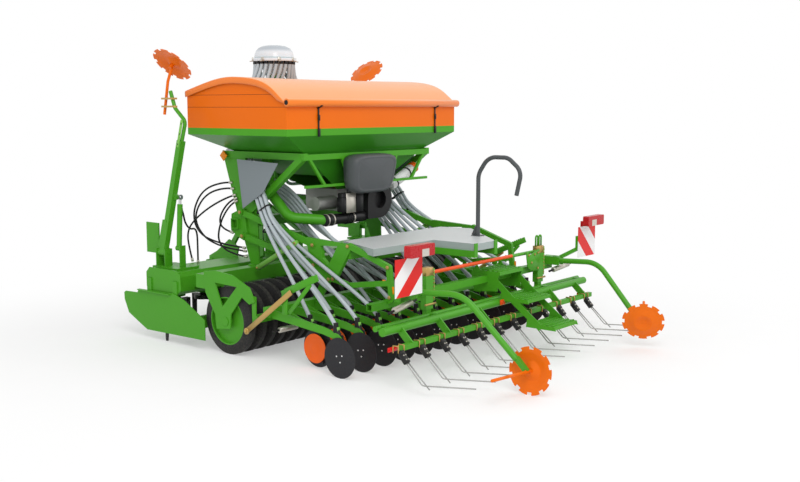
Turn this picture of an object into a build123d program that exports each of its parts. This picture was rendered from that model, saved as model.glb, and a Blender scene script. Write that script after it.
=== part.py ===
from build123d import *
import os
from math import atan2, cos, degrees, hypot, radians, sin

os.makedirs("parts", exist_ok=True)

# A mounted pneumatic seed drill on a rotary cultivator with a packer roller, in millimetres.
# X runs to the machine's right, Y in the direction of travel and Z up from the ground. Everything is laid
# out from the roller's axis, and moved along Y at the end so that the origin is under the middle of the box.

# Clearances
bearing_gap = 0.3           # round pins and shafts, and between a turning piece and its seat
side_gap = 6.0              # least room beside a moving piece

# Rows and widths
row_pitch = 125.0
row_count = 24
working_width = row_pitch * row_count

# Packer roller
roller_radius = 290.0
ring_root_radius = 226.0
ring_tip_half = 22.0
ring_root_half = 41.0
drum_radius = 205.0
drum_wall = 10.0
drum_end_inset = 30.0
axle_radius = 30.0
roller_arm_gap = 9.0        # from the last ring to the arm plate
roller_arm_thick = 12.0
hub_radius = 66.0
axle_cap_thick = 6.0

# Roller arm, outline and window in (Y, Z)
roller_arm_outline = [(268, 692), (114, 713), (-99, 693), (-302, 610), (-366, 500), (-300, 470),
                      (-210, 520), (-70, 356), (-60, 233), (113, 211), (127, 331), (248, 512)]
roller_arm_window = [(126, 610), (-150, 600), (35, 409)]
cross_beam = (315.0, 600.0)  # Y and Z of the beam's middle
cross_beam_size = 120.0

# Scrapers
scraper_bar_at = (-352.0, 352.0)
scraper_bar_size = 60.0
scraper_width = 20.0
scraper_thick = 6.0
scraper_reach = 252.0       # from the roller's axis to the scraper's tip

# Rotary cultivator
rotor_count = 10
rotor_pitch = 300.0
rotor_y = 820.0
trough_end_room = 140.0      # from the last rotor to the end plate
trough_half = rotor_pitch * (rotor_count - 1) / 2 + trough_end_room
trough_section = [(600, 470), (630, 440), (1010, 440), (1050, 480), (1050, 590), (1000, 640),
                  (640, 640), (600, 600)]
end_plate_outline = [(579, 489), (640, 435), (1020, 435), (1060, 480), (1060, 610), (1015, 655),
                     (640, 655), (585, 620)]
end_plate_thick = 10.0
trough_bottom = 440.0
trough_top = 640.0
trough_front = 1050.0
housing_radius = 75.0
housing_depth = 45.0
rotor_shaft_radius = 32.0
holder_radius = 82.0
holder_thick = 36.0
holder_top = 365.0
tine_reach = 124.0
tine_thick = 14.0
tine_blade = [(-26, 365), (26, 365), (24, 120), (10, 0), (-12, 0), (-20, 120)]

# Gearbox and drive shaft
gearbox_half = 135.0
gearbox_height = 215.0
gearbox_length = 300.0
input_height = 150.0
input_radius = 68.0
input_front = 1150.0
stub_radius = 17.5
stub_length = 76.0

# Levelling bar behind the rotors
levelling_bar_at = (430.0, 210.0)
levelling_bar_size = (40.0, 110.0)
levelling_arm_x = (-1000.0, -340.0, 340.0, 1000.0)

# Side plates, outline in (Y, Z)
side_plate_outline = [(1375, 387), (1350, 402), (1176, 407), (1155, 444), (665, 454), (522, 414),
                      (246, 269), (245, 90), (1043, 80), (1106, 107), (1312, 205), (1372, 324)]
side_plate_thick = 8.0
side_plate_gap = 12.0       # from the trough's end plate
side_hanger_y = (650.0, 1010.0)
side_hanger_size = 60.0
side_hanger_top = 560.0

# Three-point headstock
link_half = 435.0           # to the shoulder of each lower link pin
link_plate_thick = 15.0
link_plate_outline = [(1050, 470), (1050, 590), (1010, 720), (1150, 790), (1330, 660), (1450, 600),
                      (1450, 520), (1370, 480)]
lower_pin_at = (1405.0, 560.0)
lower_pin_radius = 14.35
lower_pin_length = 70.0
upper_link_at = (1235.0, 1235.0)
upper_bore_radius = 13.0
upper_ear_inner = 28.0
upper_ear_thick = 15.0
upper_ear_outline = [(1235, 1290), (1295, 1235), (1270, 1150), (1150, 1080), (1100, 1110), (1130, 1200)]
tower_foot = (1120.0, 730.0)
stay_foot = (700.0, 650.0)
tower_bar = (60.0, 26.0)

# Track markers, given for the left side; the right side is their mirror image
marker_pivot = (-1370.0, 780.0)      # X and Z of the fold axis, which runs along Y
marker_eye_y = (910.0, 1020.0)
marker_pin_radius = 15.0
marker_eye_radius = 34.0
marker_ear_thick = 12.0
marker_base_half = 70.0
marker_tube = 56.0
marker_arm_points = [(-1370, 965, 780), (-1335, 722, 1790)]
marker_gusset = [(914, 780), (1016, 780), (1012, 860), (945, 1080), (893, 1080), (914, 860)]
marker_slide_points = [(-1343, 777, 1560), (-1330, 662, 1960), (-1330, 800, 2075), (-1330, 858, 2225)]
marker_slide_radius = 17.0
marker_rod_points = [(-1330, 950, 2020), (-1330, 890, 2310), (-1304, 858, 2444)]
marker_rod_radius = 13.0
marker_disc_radius = 190.0
marker_disc_axis = (0.67, 0.0, 0.742)
marker_disc_at = (-1299.0, 852.0, 2468.0)
marker_fold = 107.0
cylinder_y = 792.0
cylinder_lever = 60.0                # from the fold axis to the barrel's pin
cylinder_arm_height = 505.0          # from the fold axis to the rod's pin
cylinder_inboard = 62.0              # the rod's pin, inboard of the fold axis
barrel_radius = 24.0
barrel_length = 395.0
barrel_eye_width = 52.0
piston_rod_radius = 12.0
cylinder_pin_radius = 8.0
cylinder_eye_radius = 24.0
cylinder_eye_width = 24.0
open_eye_gap = 1.5                   # from the rod eye's pin to the arm's lug
front_plate_x = (-1312.0, -1300.0)
front_plate_y = (1110.0, 1290.0)
front_plate_z = (750.0, 1030.0)

# Hopper
hopper_half = 1165.0
hopper_rear = -427.0
hopper_front = 834.0
hopper_knee = (838.0, -300.0, 585.0)   # half width, rear and front where the slopes get steeper
hopper_outlet = (260.0, -150.0, 250.0)
hopper_wall_bottom = 1843.0
hopper_knee_z = 1690.0
hopper_outlet_z = 1340.0
hopper_sheet = 5.0
cover_line = [(-427, 2112), (-361, 2166), (-250, 2250), (-120, 2300), (60, 2326), (299, 2335),
              (560, 2290), (834, 2216)]
cover_thick = 14.0
cover_overhang = 38.0
cover_lip = 30.0
cover_hem_radius = 24.0

# Frame that carries the hopper
frame_x = 850.0
rail_size = (50.0, 60.0)
rail_y = (690.0, -335.0)
rail_z = 1660.0
leg_outline = [(730, 1690), (440, 1690), (275, 1090), (262, 660), (368, 660), (500, 1000)]
leg_thick = 14.0
strut_from = (-300.0, 1650.0)
strut_to = (420.0, 1105.0)
strut_size = 56.0
link_beam = (535.0, 1030.0)
link_beam_size = 90.0
link_beam_wall = 8.0
link_beam_half = 905.0
link_plate_at = 867.0
link_plate_wide = 20.0
link_plate = [(600, 1115), (480, 1165), (425, 1170), (390, 900), (440, 880), (520, 910), (610, 965)]
guard_y = -322.0
guard_bar = 24.0
guard_points = [((-805, 1650), (-604, 1400)), ((-385, 1650), (-270, 1400)), ((-850, 1400), (-255, 1400))]

# Metering, fan and air lines
metering_bottom = 1245.0
injector_z = 1180.0
injector_radius = 62.0
injector_x = 30.0
injector_y = (-180.0, 330.0)
motor_x = (-575.0, -335.0)
motor_at = (-170.0, 1228.0)
motor_radius = 62.0
fan_at = (130.0, 1232.0)
fan_y = (-335.0, -205.0)
fan_radius = 172.0
fan_inlet_radius = 84.0
hood_x = (-395.0, 235.0)
hood_y = (-475.0, -345.0)
hood_z = (1325.0, 1618.0)
hood_corner = 60.0
hood_tab_x = (-300.0, -240.0)
hood_tab_z = (1388.0, 1412.0)
duct_radius = 48.0
duct_points = [(-30, -270, 1085), (-520, -270, 1085), (-752, -20, 1110), (-752, 210, 1320), (-690, 320, 1640)]
duct_bends = [150, 150, 140]
riser_y = 940.0
riser_radius = 57.0
riser_bend = 150.0

# Distributor head
head_ring_radius = 335.0
head_ring_z = (2532.0, 2562.0)
head_cone_bottom = 2400.0
head_holder_z = (1990.0, 2030.0)
dome_radius = 266.0
dome_top = 2690.0
outlet_circle = 285.0
outlet_radius = 17.0
outlet_length = 55.0

# Hose shields, outline in (Y, Z)
shield_outline = [(429, 1622), (-96, 1602), (95, 1341), (363, 1182), (421, 1572)]
shield_thick = 3.0
shield_at = 950.0
shield_spacers = [(402, 1500), (360, 1290)]

# Coulter frame, in (Y, Z)
bracket_x = 888.0
bracket_thick = 36.0
bracket_outline = [(-379, 978), (-880, 955), (-898, 925), (-705, 620), (-600, 625), (-529, 687), (-423, 768)]
bracket_window = [(-550, 920), (-744, 932), (-640, 759), (-571, 816)]
bracket_rear = [(-860, 945), (-1292, 805), (-1325, 545), (-1115, 452)]
bracket_lower = [(-690, 650), (-849, 610), (-1300, 677)]
bracket_tail = [(-1310, 562), (-1575, 622)]
bracket_bar = 44.0
upper_links = ((445.0, 1142.0), (-461.0, 918.0))
lower_links = ((424.0, 925.0), (-471.0, 746.0))
link_bar = (26.0, 56.0)
toolbar_at = (-470.0, 420.0)
toolbar_size = 80.0
toolbar_overhang = 27.5     # past the outermost coulter
toolbar_arm_top = (-625.0, 660.0)
cross_tube_at = (-845.0, 860.0)
cross_tube_size = 60.0
end_tube_at = (-1261.0, 501.0)
end_tube_half = 1100.0
end_tube_wall = 6.0
rear_tube_at = (-1575.0, 622.0)
rear_tube_half = 1125.0
tongue_bearer_x = (-172.0, 122.0)
tongue_bearer_size = (44.0, 55.0)
tongue_end = -1637.0

# Coulters
front_row_y = -890.0
rear_row_y = -1265.0
coulter_axis_z = 160.0
disc_radius = 160.0
disc_thick = 4.0
depth_disc_radius = 125.0
depth_disc_thick = 12.0
arm_thick = 14.0
arm_drop = 180.0            # how far in front of the disc's axis the arm turns down
hub_boss_radius = 27.0
arm_foot_half = 21.0        # half the arm's width at the disc's axis
disc_shaft_radius = 10.0
disc_offset = 12.0          # from the arm's middle to the steel disc's inner face
boot_thick = 10.0
boot_top = 395.0            # where the seed hose ends
boot_mouth = 62.0
boot_tube_radius = 19.0

# Loading board and handrail
board_outline = [(-724, -650), (650, -650), (725, -960), (340, -1380), (120, -1637), (-170, -1637),
                 (-175, -1200), (-949, -1180)]
board_top = 950.0
board_rim = 60.0
board_sheet = 5.0
rail_radius = 19.0
handrail_x = 300.0
handrail_points = [(-1330, 950), (-1330, 1500), (-1435, 1652), (-1640, 1652), (-1778, 1540), (-1730, 1330)]
handrail_bends = [160, 150, 120, 110]
handrail_foot = 42.0
handrail_gusset = [(-1330, 956), (-1330, 1035), (-1300, 1035), (-1264, 956)]

# Steps
step_x = (62.0, 430.0)
tread_rear = [(-1728.0, 690.0), (-2008.0, 482.0), (-2272.0, 287.0)]
tread_depth = 265.0
tread_thick = 30.0
string_thick = 6.0
string_high = 56.0
string_top = (-1640.0, 640.0)
upper_cheek = [(-1486, 739), (-1430, 655), (-1462, 499), (-1706, 522), (-1696, 586), (-1720, 680), (-1528, 688)]
tread_cheek = [(-12, -34), (277, -34), (265, 40), (150, -8), (0, -8)]

# Following harrow
harrow_pitch = 250.0
harrow_count = 12
harrow_end_room = 125.0     # past the last tine
harrow_half = harrow_pitch * (harrow_count - 1) / 2 + harrow_end_room
harrow_strap_inset = 80.0
harrow_tube = (-1733.0, 436.0)
harrow_tube_radius = 32.0
harrow_front_tube = (-1665.0, 452.0)
harrow_front_radius = 22.0
column_x = 830.0
column_size = (90.0, 55.0)
column_z = (500.0, 830.0)
adjusting_bar_z = 785.0
adjusting_bar_radius = 15.0
tine_bar_at = (-1850.0, 325.0)
tine_bar_size = 40.0
tine_bar_half = harrow_half - 80.0
tine_bar_arm_x = (200 - harrow_half, -830.0, -280.0, 280.0, 830.0, harrow_half - 200)
tine_wire = 5.0
holder_box = (46.0, 60.0, 86.0)
tine_bend_back = 62.0
tine_trail = (120.0, -330.0)

# Row marker arms, left side; the right side is their mirror image apart from its disc
row_arm_pivot = (-1056.0, -1700.0, 674.0)
row_arm_points = [(-1056, -1700, 674), (-1035, -2130, 700), (-962, -2560, 262)]
row_arm_bend = 260.0
row_arm_radius = 24.0
row_raise = 75.0
row_disc_radius = 180.0
row_disc_at = (-905.0, -2652.0, 180.0)
row_axle_length = 320.0
row_disc_axis = (0.998, 0.0, -0.06)
row_disc_right_at = (905.0, -2652.0, 243.0)
row_disc_right_axis = (-0.833, -0.399, -0.383)

# Boards and lamps
sign_x = (1170.0, 1490.0)
sign_z = (700.0, 985.0)
sign_y = -1850.0
sign_thick = 3.0
sign_bar_size = (30.0, 34.0)
lamp_x = (1160.0, 1450.0)
lamp_z = (1000.0, 1090.0)
lamp_y = (-1962.0, -1902.0)

row_x = [-working_width / 2 + row_pitch * (k + 0.5) for k in range(row_count)]
centre = (Align.CENTER, Align.CENTER, Align.MIN)


def bar(p, q, wide, high, side=(1, 0, 0)):
    # A flat or square bar from p to q, wide along side
    run = Vector(*q) - Vector(*p)
    return Plane(origin=p, x_dir=side, z_dir=run) * Box(wide, high, run.length, align=centre)


def rod(p, q, radius):
    # A round bar from p to q
    run = Vector(*q) - Vector(*p)
    return Plane(origin=p, z_dir=run) * Cylinder(radius, run.length, align=centre)


def block(x, y, z):
    # A box between two values on each axis
    size = [b - a for a, b in (x, y, z)]
    middle = [(a + b) / 2 for a, b in (x, y, z)]
    return Pos(*middle) * Box(*[abs(s) for s in size])


def plate_yz(points, x, thick):
    # An outline in (Y, Z) with its thickness centred on x
    face = make_face(Polyline(*points, close=True).edges())
    return extrude(Plane(origin=(x, 0, 0), x_dir=(0, 1, 0), z_dir=(1, 0, 0)) * face, thick / 2, both=True)


def plate_xy(points, z, thick):
    # An outline in (X, Y) that hangs thick below z
    face = make_face(Polyline(*points, close=True).edges())
    return extrude(Pos(0, 0, z) * face, -thick)


def bent(points, radius, bends):
    # A round tube along straight runs joined by arcs
    path = FilletPolyline(*points, radius=bends)
    return sweep(Plane(origin=path @ 0, z_dir=path % 0) * Circle(radius), path=path)


def mirrored(shape):
    return mirror(shape, about=Plane.YZ)


def both(shape):
    return Part() + [shape, mirrored(shape)]


def square_beam(at, size, half):
    # A square beam along X, at its middle's Y and Z
    return Pos(0, at[0], at[1]) * Box(2 * half, size, size)


def turned(profile, origin, axis):
    # A closed profile of (radius, height) pairs turned about an axis through origin
    face = make_face(Polyline(*profile, close=True).edges())
    shape = revolve(Plane.XZ * face, Axis.Z)
    return Plane(origin=origin, z_dir=axis) * shape


parts = {}

# Packer roller: a drum with a rubber sleeve of wedge rings
roller_half = row_x[-1] + ring_root_half
arm_inner = roller_half + roller_arm_gap
arm_x = arm_inner + roller_arm_thick / 2
sleeve = [(drum_radius, -roller_half)]
for x in row_x:
    sleeve += [(ring_root_radius, x - ring_root_half), (roller_radius, x - ring_tip_half),
               (roller_radius, x + ring_tip_half), (ring_root_radius, x + ring_root_half)]
sleeve.append((drum_radius, roller_half))
roller_at = (0, 0, roller_radius)
parts["roller_rings"] = turned(sleeve, roller_at, (1, 0, 0))
drum = turned([(drum_radius - drum_wall, -roller_half), (drum_radius, -roller_half),
               (drum_radius, roller_half), (drum_radius - drum_wall, roller_half)], roller_at, (1, 0, 0))
axle_end = arm_inner + roller_arm_thick + bearing_gap
end_disc = both(rod((roller_half - drum_end_inset - 12, 0, roller_radius),
                    (roller_half - drum_end_inset, 0, roller_radius), drum_radius - drum_wall / 2))
axles = both(rod((roller_half - drum_end_inset - 12, 0, roller_radius), (axle_end, 0, roller_radius), axle_radius))
caps = both(rod((axle_end, 0, roller_radius), (axle_end + axle_cap_thick, 0, roller_radius), axle_radius * 1.3))
parts["roller_drum"] = Part() + [drum, end_disc, axles, caps]

# Roller frame: two arm plates joined by the cross beam, and the brackets to the trough
arm = plate_yz(roller_arm_outline, arm_x, roller_arm_thick) - plate_yz(roller_arm_window, arm_x, 2 * roller_arm_thick)
arm += rod((arm_inner, 0, roller_radius), (arm_inner + roller_arm_thick, 0, roller_radius), hub_radius)
beam = square_beam(cross_beam, cross_beam_size, arm_inner + roller_arm_thick / 2)
trough_rear = min(y for y, z in trough_section)
lugs = [block((x - 30, x + 30), (cross_beam[0], trough_rear), (500, 596)) for x in (-1300, -450, 450, 1300)]
bore = rod((-2000, 0, roller_radius), (2000, 0, roller_radius), axle_radius + bearing_gap)
parts["roller_frame"] = (Part() + [arm, mirrored(arm), beam, *lugs]) - bore

# Scrapers between the rings
scraper_angle = atan2(scraper_bar_at[1] - roller_radius, scraper_bar_at[0])
tip = (scraper_reach * cos(scraper_angle), roller_radius + scraper_reach * sin(scraper_angle))
fingers = [bar((x + row_pitch / 2, *scraper_bar_at), (x + row_pitch / 2, *tip), scraper_width, scraper_thick)
           for x in row_x[:-1]]
hanger = block((arm_inner - 10, arm_inner), (scraper_bar_at[0] - 14, scraper_bar_at[0] + 32),
               (scraper_bar_at[1], 540))
parts["scraper_bar"] = Part() + [square_beam(scraper_bar_at, scraper_bar_size, arm_inner), both(hanger), *fingers]

# Rotary cultivator: a gear trough on bearing housings, with end plates
trough = plate_yz(trough_section, 0, 2 * trough_half)
ends = both(plate_yz(end_plate_outline, trough_half + end_plate_thick / 2, end_plate_thick))
rotor_x = [rotor_pitch * (k - (rotor_count - 1) / 2) for k in range(rotor_count)]
housing_bottom = trough_bottom - housing_depth
housings = [rod((x, rotor_y, housing_bottom), (x, rotor_y, trough_bottom + 5), housing_radius) for x in rotor_x]
parts["rotor_trough"] = Part() + [trough, ends, *housings]

for k, x in enumerate(rotor_x):
    shaft = rod((0, 0, holder_top - holder_thick), (0, 0, housing_bottom - bearing_gap), rotor_shaft_radius)
    holder = rod((0, 0, holder_top - holder_thick), (0, 0, holder_top), holder_radius)
    blade = plate_yz(tine_blade, tine_reach, tine_thick)
    web = block((0, tine_reach), (-26, 26), (holder_top - holder_thick, holder_top))
    half = Part() + [blade, web]
    rotor = Part() + [shaft, holder, half, Rot(0, 0, 180) * half]
    parts[f"rotor_{k + 1:02d}"] = Pos(x, rotor_y, 0) * Rot(0, 0, 90 * (k % 2)) * rotor

# Gearbox with its input shaft
gearbox = block((-gearbox_half, gearbox_half), (rotor_y - gearbox_length / 2, rotor_y + gearbox_length / 2),
                (trough_top, trough_top + gearbox_height))
gearbox = fillet(gearbox.edges().filter_by(Axis.Z), 30)
input_z = trough_top + input_height
gearbox += rod((0, rotor_y, input_z), (0, input_front, input_z), input_radius)
gearbox += rod((0, input_front, input_z), (0, input_front + stub_length, input_z), stub_radius)
gearbox += block((-gearbox_half - 30, gearbox_half + 30),
                 (rotor_y - gearbox_length / 2 - 10, rotor_y + gearbox_length / 2 + 10), (trough_top, trough_top + 16))
parts["cultivator_gearbox"] = gearbox

# Levelling bar
arms = [bar((x, levelling_bar_at[0], levelling_bar_at[1]), (x, 640, 470), 16, 50) for x in levelling_arm_x]
plank = Pos(0, *levelling_bar_at) * Box(2 * trough_half - 30, *levelling_bar_size)
parts["levelling_bar"] = (Part() + [plank, *arms]) - parts["rotor_trough"]

# Side plates on their hangers
plate_inner = trough_half + end_plate_thick + side_plate_gap
plate = plate_yz(side_plate_outline, plate_inner + side_plate_thick / 2, side_plate_thick)
hangers = [block((trough_half + end_plate_thick, plate_inner), (y - side_hanger_size / 2, y + side_hanger_size / 2),
                 (400, side_hanger_top)) for y in side_hanger_y]
flange = block((plate_inner, plate_inner + 30), (700, 1150), (436, 444))
parts["side_plates"] = both(Part() + [plate, flange, *hangers])

# Three-point headstock
cheek = plate_yz(link_plate_outline, link_half - link_plate_thick / 2, link_plate_thick)
pin = rod((link_half, *lower_pin_at), (link_half + lower_pin_length, *lower_pin_at), lower_pin_radius)
ear = plate_yz(upper_ear_outline, upper_ear_inner + upper_ear_thick / 2, upper_ear_thick)
ear_x = upper_ear_inner + upper_ear_thick / 2
front_leg = bar((ear_x, 1180, 1150), (link_half - 15, *tower_foot), *tower_bar, side=(0, 1, 0))
rear_stay = bar((ear_x, 1130, 1130), (link_half - 15, *stay_foot), *tower_bar, side=(0, 1, 0))
tower = Part() + [cheek, pin, ear, front_leg, rear_stay]
spacer = rod((-upper_ear_inner, 1165, 1130), (upper_ear_inner, 1165, 1130), 20)
upper_bore = rod((-200, *upper_link_at), (200, *upper_link_at), upper_bore_radius)
parts["headstock"] = both(tower) + spacer - upper_bore - parts["rotor_trough"]

# Hopper: sheet walls over a hipped funnel, with gables that follow the cover


def hopper_solid(inset, top):
    # The hopper's outer form, or its inside where inset is the sheet's thickness
    levels = [(hopper_half, hopper_rear, hopper_front, hopper_wall_bottom), (*hopper_knee, hopper_knee_z),
              (*hopper_outlet, hopper_outlet_z - inset)]
    faces = []
    for half, rear, front, z in levels:
        face = Rectangle(2 * (half - inset), front - rear - 2 * inset)
        faces.append(Pos(0, (rear + front) / 2, z) * face)
    box = block((-hopper_half + inset, hopper_half - inset), (hopper_rear + inset, hopper_front - inset),
                (hopper_wall_bottom, top))
    return Part() + [box, loft(faces[0:2], ruled=True), loft(faces[1:3], ruled=True)]


cover_top = max(z for y, z in cover_line)
above = plate_yz(cover_line + [(hopper_front, cover_top + 50), (hopper_rear, cover_top + 50)], 0, 3 * hopper_half)
hopper_outer = hopper_solid(0, cover_top + 20) - above
parts["hopper_shell"] = hopper_outer - hopper_solid(hopper_sheet, cover_top + 40)

# Cover: a sheet over the gables with a lip at each end and a rolled hem behind
sheet_line = [(hopper_rear - cover_hem_radius, cover_line[0][1] - 10)] + cover_line
band = sheet_line + [(y, z + cover_thick) for y, z in reversed(sheet_line)]
sheet = plate_yz(band, 0, 2 * (hopper_half + cover_overhang))
lip_line = cover_line + [(y, z - cover_lip) for y, z in reversed(cover_line)]
lip_half = cover_overhang - bearing_gap
lips = both(plate_yz(lip_line, hopper_half + bearing_gap + lip_half / 2, lip_half))
hem_at = (hopper_rear - cover_hem_radius - bearing_gap, cover_line[0][1] + 6)
hem_half = hopper_half + cover_overhang
hem = rod((-hem_half, *hem_at), (hem_half, *hem_at), cover_hem_radius)
parts["hopper_cover"] = Part() + [sheet, lips, hem]

# Frame that carries the hopper
rail = bar((frame_x, rail_y[0], rail_z), (frame_x, rail_y[1], rail_z), *rail_size)
leg = plate_yz(leg_outline, frame_x, leg_thick)
foot = block((frame_x - 45, frame_x + 45), (262, 368), (660, 672))
strut = bar((frame_x, *strut_from), (frame_x, *strut_to), strut_size, strut_size)
end_plate = plate_yz(link_plate, link_plate_at, link_plate_wide)
guards = [bar((-a, guard_y, b), (-c, guard_y, d), guard_bar, guard_bar, side=(0, 1, 0))
          for (a, b), (c, d) in guard_points]
side_frame = Part() + [rail, leg, foot, strut, end_plate, *guards]
ties = [block((-frame_x, frame_x), (rail_y[0] - 50, rail_y[0]), (rail_z - 30, rail_z + 20)),
        block((-frame_x, frame_x), (rail_y[1], rail_y[1] + 26), (rail_z - 30, rail_z + 20)),
        square_beam(link_beam, link_beam_size, link_beam_half)]
beam_inside = link_beam_size - 2 * link_beam_wall
open_ends = both(block((frame_x + leg_thick / 2 + 5, link_beam_half + 10),
                       (link_beam[0] - beam_inside / 2, link_beam[0] + beam_inside / 2),
                       (link_beam[1] - beam_inside / 2, link_beam[1] + beam_inside / 2)))
parts["drill_frame"] = (both(side_frame) + ties) - hopper_outer - open_ends

# Hose shields on the outside of the legs
shields = both(plate_yz(shield_outline, shield_at, shield_thick))
spacers = [both(rod((frame_x + leg_thick / 2, *at), (shield_at, *at), 10)) for at in shield_spacers]
parts["hose_shields"] = Part() + [shields, *spacers]

# Metering unit under the hopper, its injector tube and drive motor
half, rear, front = hopper_outlet
casing = block((-half, half), (rear, front), (metering_bottom, hopper_outlet_z))
cheeks = both(block((half - 8, half), (rear, front), (injector_z - 40, metering_bottom)))
injector = rod((injector_x, injector_y[0], injector_z), (injector_x, injector_y[1], injector_z), injector_radius)
throat = block((injector_x - 40, injector_x + 40), (rear + 40, front - 40), (injector_z, metering_bottom))
motor = rod((motor_x[0], *motor_at), (motor_x[1], *motor_at), motor_radius)
drive = rod((motor_x[1], -120, motor_at[1]), (-half + 4, -120, motor_at[1]), 14)
parts["metering_unit"] = Part() + [casing, cheeks, injector, throat, motor, drive]

# Fan housing with its inlet ring
fan = rod((fan_at[0], fan_y[0], fan_at[1]), (fan_at[0], fan_y[1], fan_at[1]), fan_radius)
fan += block((fan_at[0] - fan_radius, fan_at[0]), fan_y, (fan_at[1] - fan_radius, fan_at[1]))
fan -= rod((fan_at[0], fan_y[0], fan_at[1]), (fan_at[0], fan_y[0] + 50, fan_at[1]), fan_inlet_radius)
neck = rod((fan_at[0], fan_y[1], fan_at[1]), (fan_at[0], rear, fan_at[1]), 40)
parts["fan_housing"] = fan + (neck - parts["metering_unit"])

# Air line from the fan to the hopper, and the riser to the distributor head
duct = bent(duct_points, duct_radius, duct_bends) - parts["fan_housing"] - hopper_outer
parts["air_duct"] = duct
riser_points = [(injector_x, injector_y[1], injector_z), (injector_x, riser_y, injector_z),
                (injector_x, riser_y, head_ring_z[0])]
riser = bent(riser_points, riser_radius, riser_bend)
dome_rise = dome_top - head_ring_z[1]
head = turned([(0, head_cone_bottom), (riser_radius + 4, head_cone_bottom), (250, head_ring_z[0] - 22), (250, head_ring_z[0]),
               (head_ring_radius, head_ring_z[0]), (head_ring_radius, head_ring_z[1]),
               (dome_radius, head_ring_z[1]), (dome_radius * 0.93, head_ring_z[1] + 0.49 * dome_rise),
               (dome_radius * 0.68, head_ring_z[1] + 0.83 * dome_rise), (dome_radius * 0.3, dome_top), (0, dome_top)], (injector_x, riser_y, 0), (0, 0, 1))
outlets = []
for k in range(row_count):
    a = radians(360 * (k + 0.5) / row_count)
    x, y = injector_x + outlet_circle * cos(a), riser_y + outlet_circle * sin(a)
    outlets.append(rod((x, y, head_ring_z[0] - outlet_length), (x, y, head_ring_z[0]), outlet_radius))
holder = block((injector_x - 30, injector_x + 30), (hopper_front, riser_y), head_holder_z)
parts["distributor_head"] = Part() + [riser, head, holder, *outlets]

# Hood over the fan drive
hood = block(hood_x, hood_y, hood_z)
hood = fillet(hood.edges().filter_by(Axis.Y), hood_corner)
hood = chamfer(hood.faces().sort_by(Axis.Y)[0].edges(), 22)
hood += block(hood_tab_x, (hood_y[1], guard_y - guard_bar / 2), hood_tab_z)
parts["metering_cover"] = hood

# Loading board, folded down all round
board_bottom = board_top - board_rim
outer = plate_xy(board_outline, board_top, board_rim)
inner = offset(make_face(Polyline(*board_outline, close=True).edges()), -board_sheet)
hollow = extrude(Pos(0, 0, board_bottom) * inner, board_rim - board_sheet)
parts["loading_board"] = outer - hollow

# Coulter frame: brackets, links, toolbar and cross tubes
bracket = plate_yz(bracket_outline, bracket_x, bracket_thick) - plate_yz(bracket_window, bracket_x, 2 * bracket_thick)
pieces = [bracket]
for line in (bracket_rear, bracket_lower, bracket_tail):
    for a, b in zip(line, line[1:]):
        pieces.append(bar((bracket_x, *a), (bracket_x, *b), bracket_thick, bracket_bar))
        pieces.append(rod((bracket_x - bracket_thick / 2, *b), (bracket_x + bracket_thick / 2, *b), bracket_bar / 2))
leg_face = frame_x + leg_thick / 2
for a, b in (upper_links, lower_links):
    pieces.append(bar((bracket_x, *a), (bracket_x, *b), *link_bar))
    for pin in (a, b):
        pieces.append(rod((leg_face, *pin), (bracket_x + bracket_thick / 2 + 6, *pin), link_bar[1] / 2))
pieces.append(bar((bracket_x, *toolbar_at), (bracket_x, *toolbar_arm_top), 20, 80))
sign_bar_y = sign_y + sign_thick / 2 + sign_bar_size[0] / 2   # the upright bar lies on the board's back
sign_bars = [((rear_tube_half - 20, -1590, 640), (1200, sign_bar_y, 783)), ((1195, sign_bar_y, 775), (1195, sign_bar_y, 900))]
for a, b in sign_bars:
    pieces.append(bar(a, b, *sign_bar_size, side=(0, 1, 0) if a[2] > 700 else (1, 0, 0)))
side = Part() + pieces
toolbar_half = row_x[-1] + toolbar_overhang
tubes = [square_beam(toolbar_at, toolbar_size, toolbar_half), square_beam(rear_tube_at, cross_tube_size, rear_tube_half),
         square_beam(cross_tube_at, cross_tube_size, bracket_x), square_beam(end_tube_at, cross_tube_size, end_tube_half)]
wide, high = tongue_bearer_size
for x in tongue_bearer_x:
    tubes.append(block((x - wide / 2, x + wide / 2), (tongue_end, cross_tube_at[0]), (board_bottom - high, board_bottom)))
    tubes.append(block((x - wide / 2, x + wide / 2), (tongue_end - 8, tongue_end), (board_bottom - high, board_top + 5)))
inside = cross_tube_size - 2 * end_tube_wall
hollow_ends = both(block((end_tube_half - 120, end_tube_half + 10), (end_tube_at[0] - inside / 2, end_tube_at[0] + inside / 2),
                         (end_tube_at[1] - inside / 2, end_tube_at[1] + inside / 2)))
boards = both(block(sign_x, (sign_y - sign_thick / 2, sign_y + sign_thick / 2), sign_z))
coulter_frame = (both(side) + tubes) - parts["drill_frame"] - boards - hollow_ends
parts["coulter_frame"] = coulter_frame - outer


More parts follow.
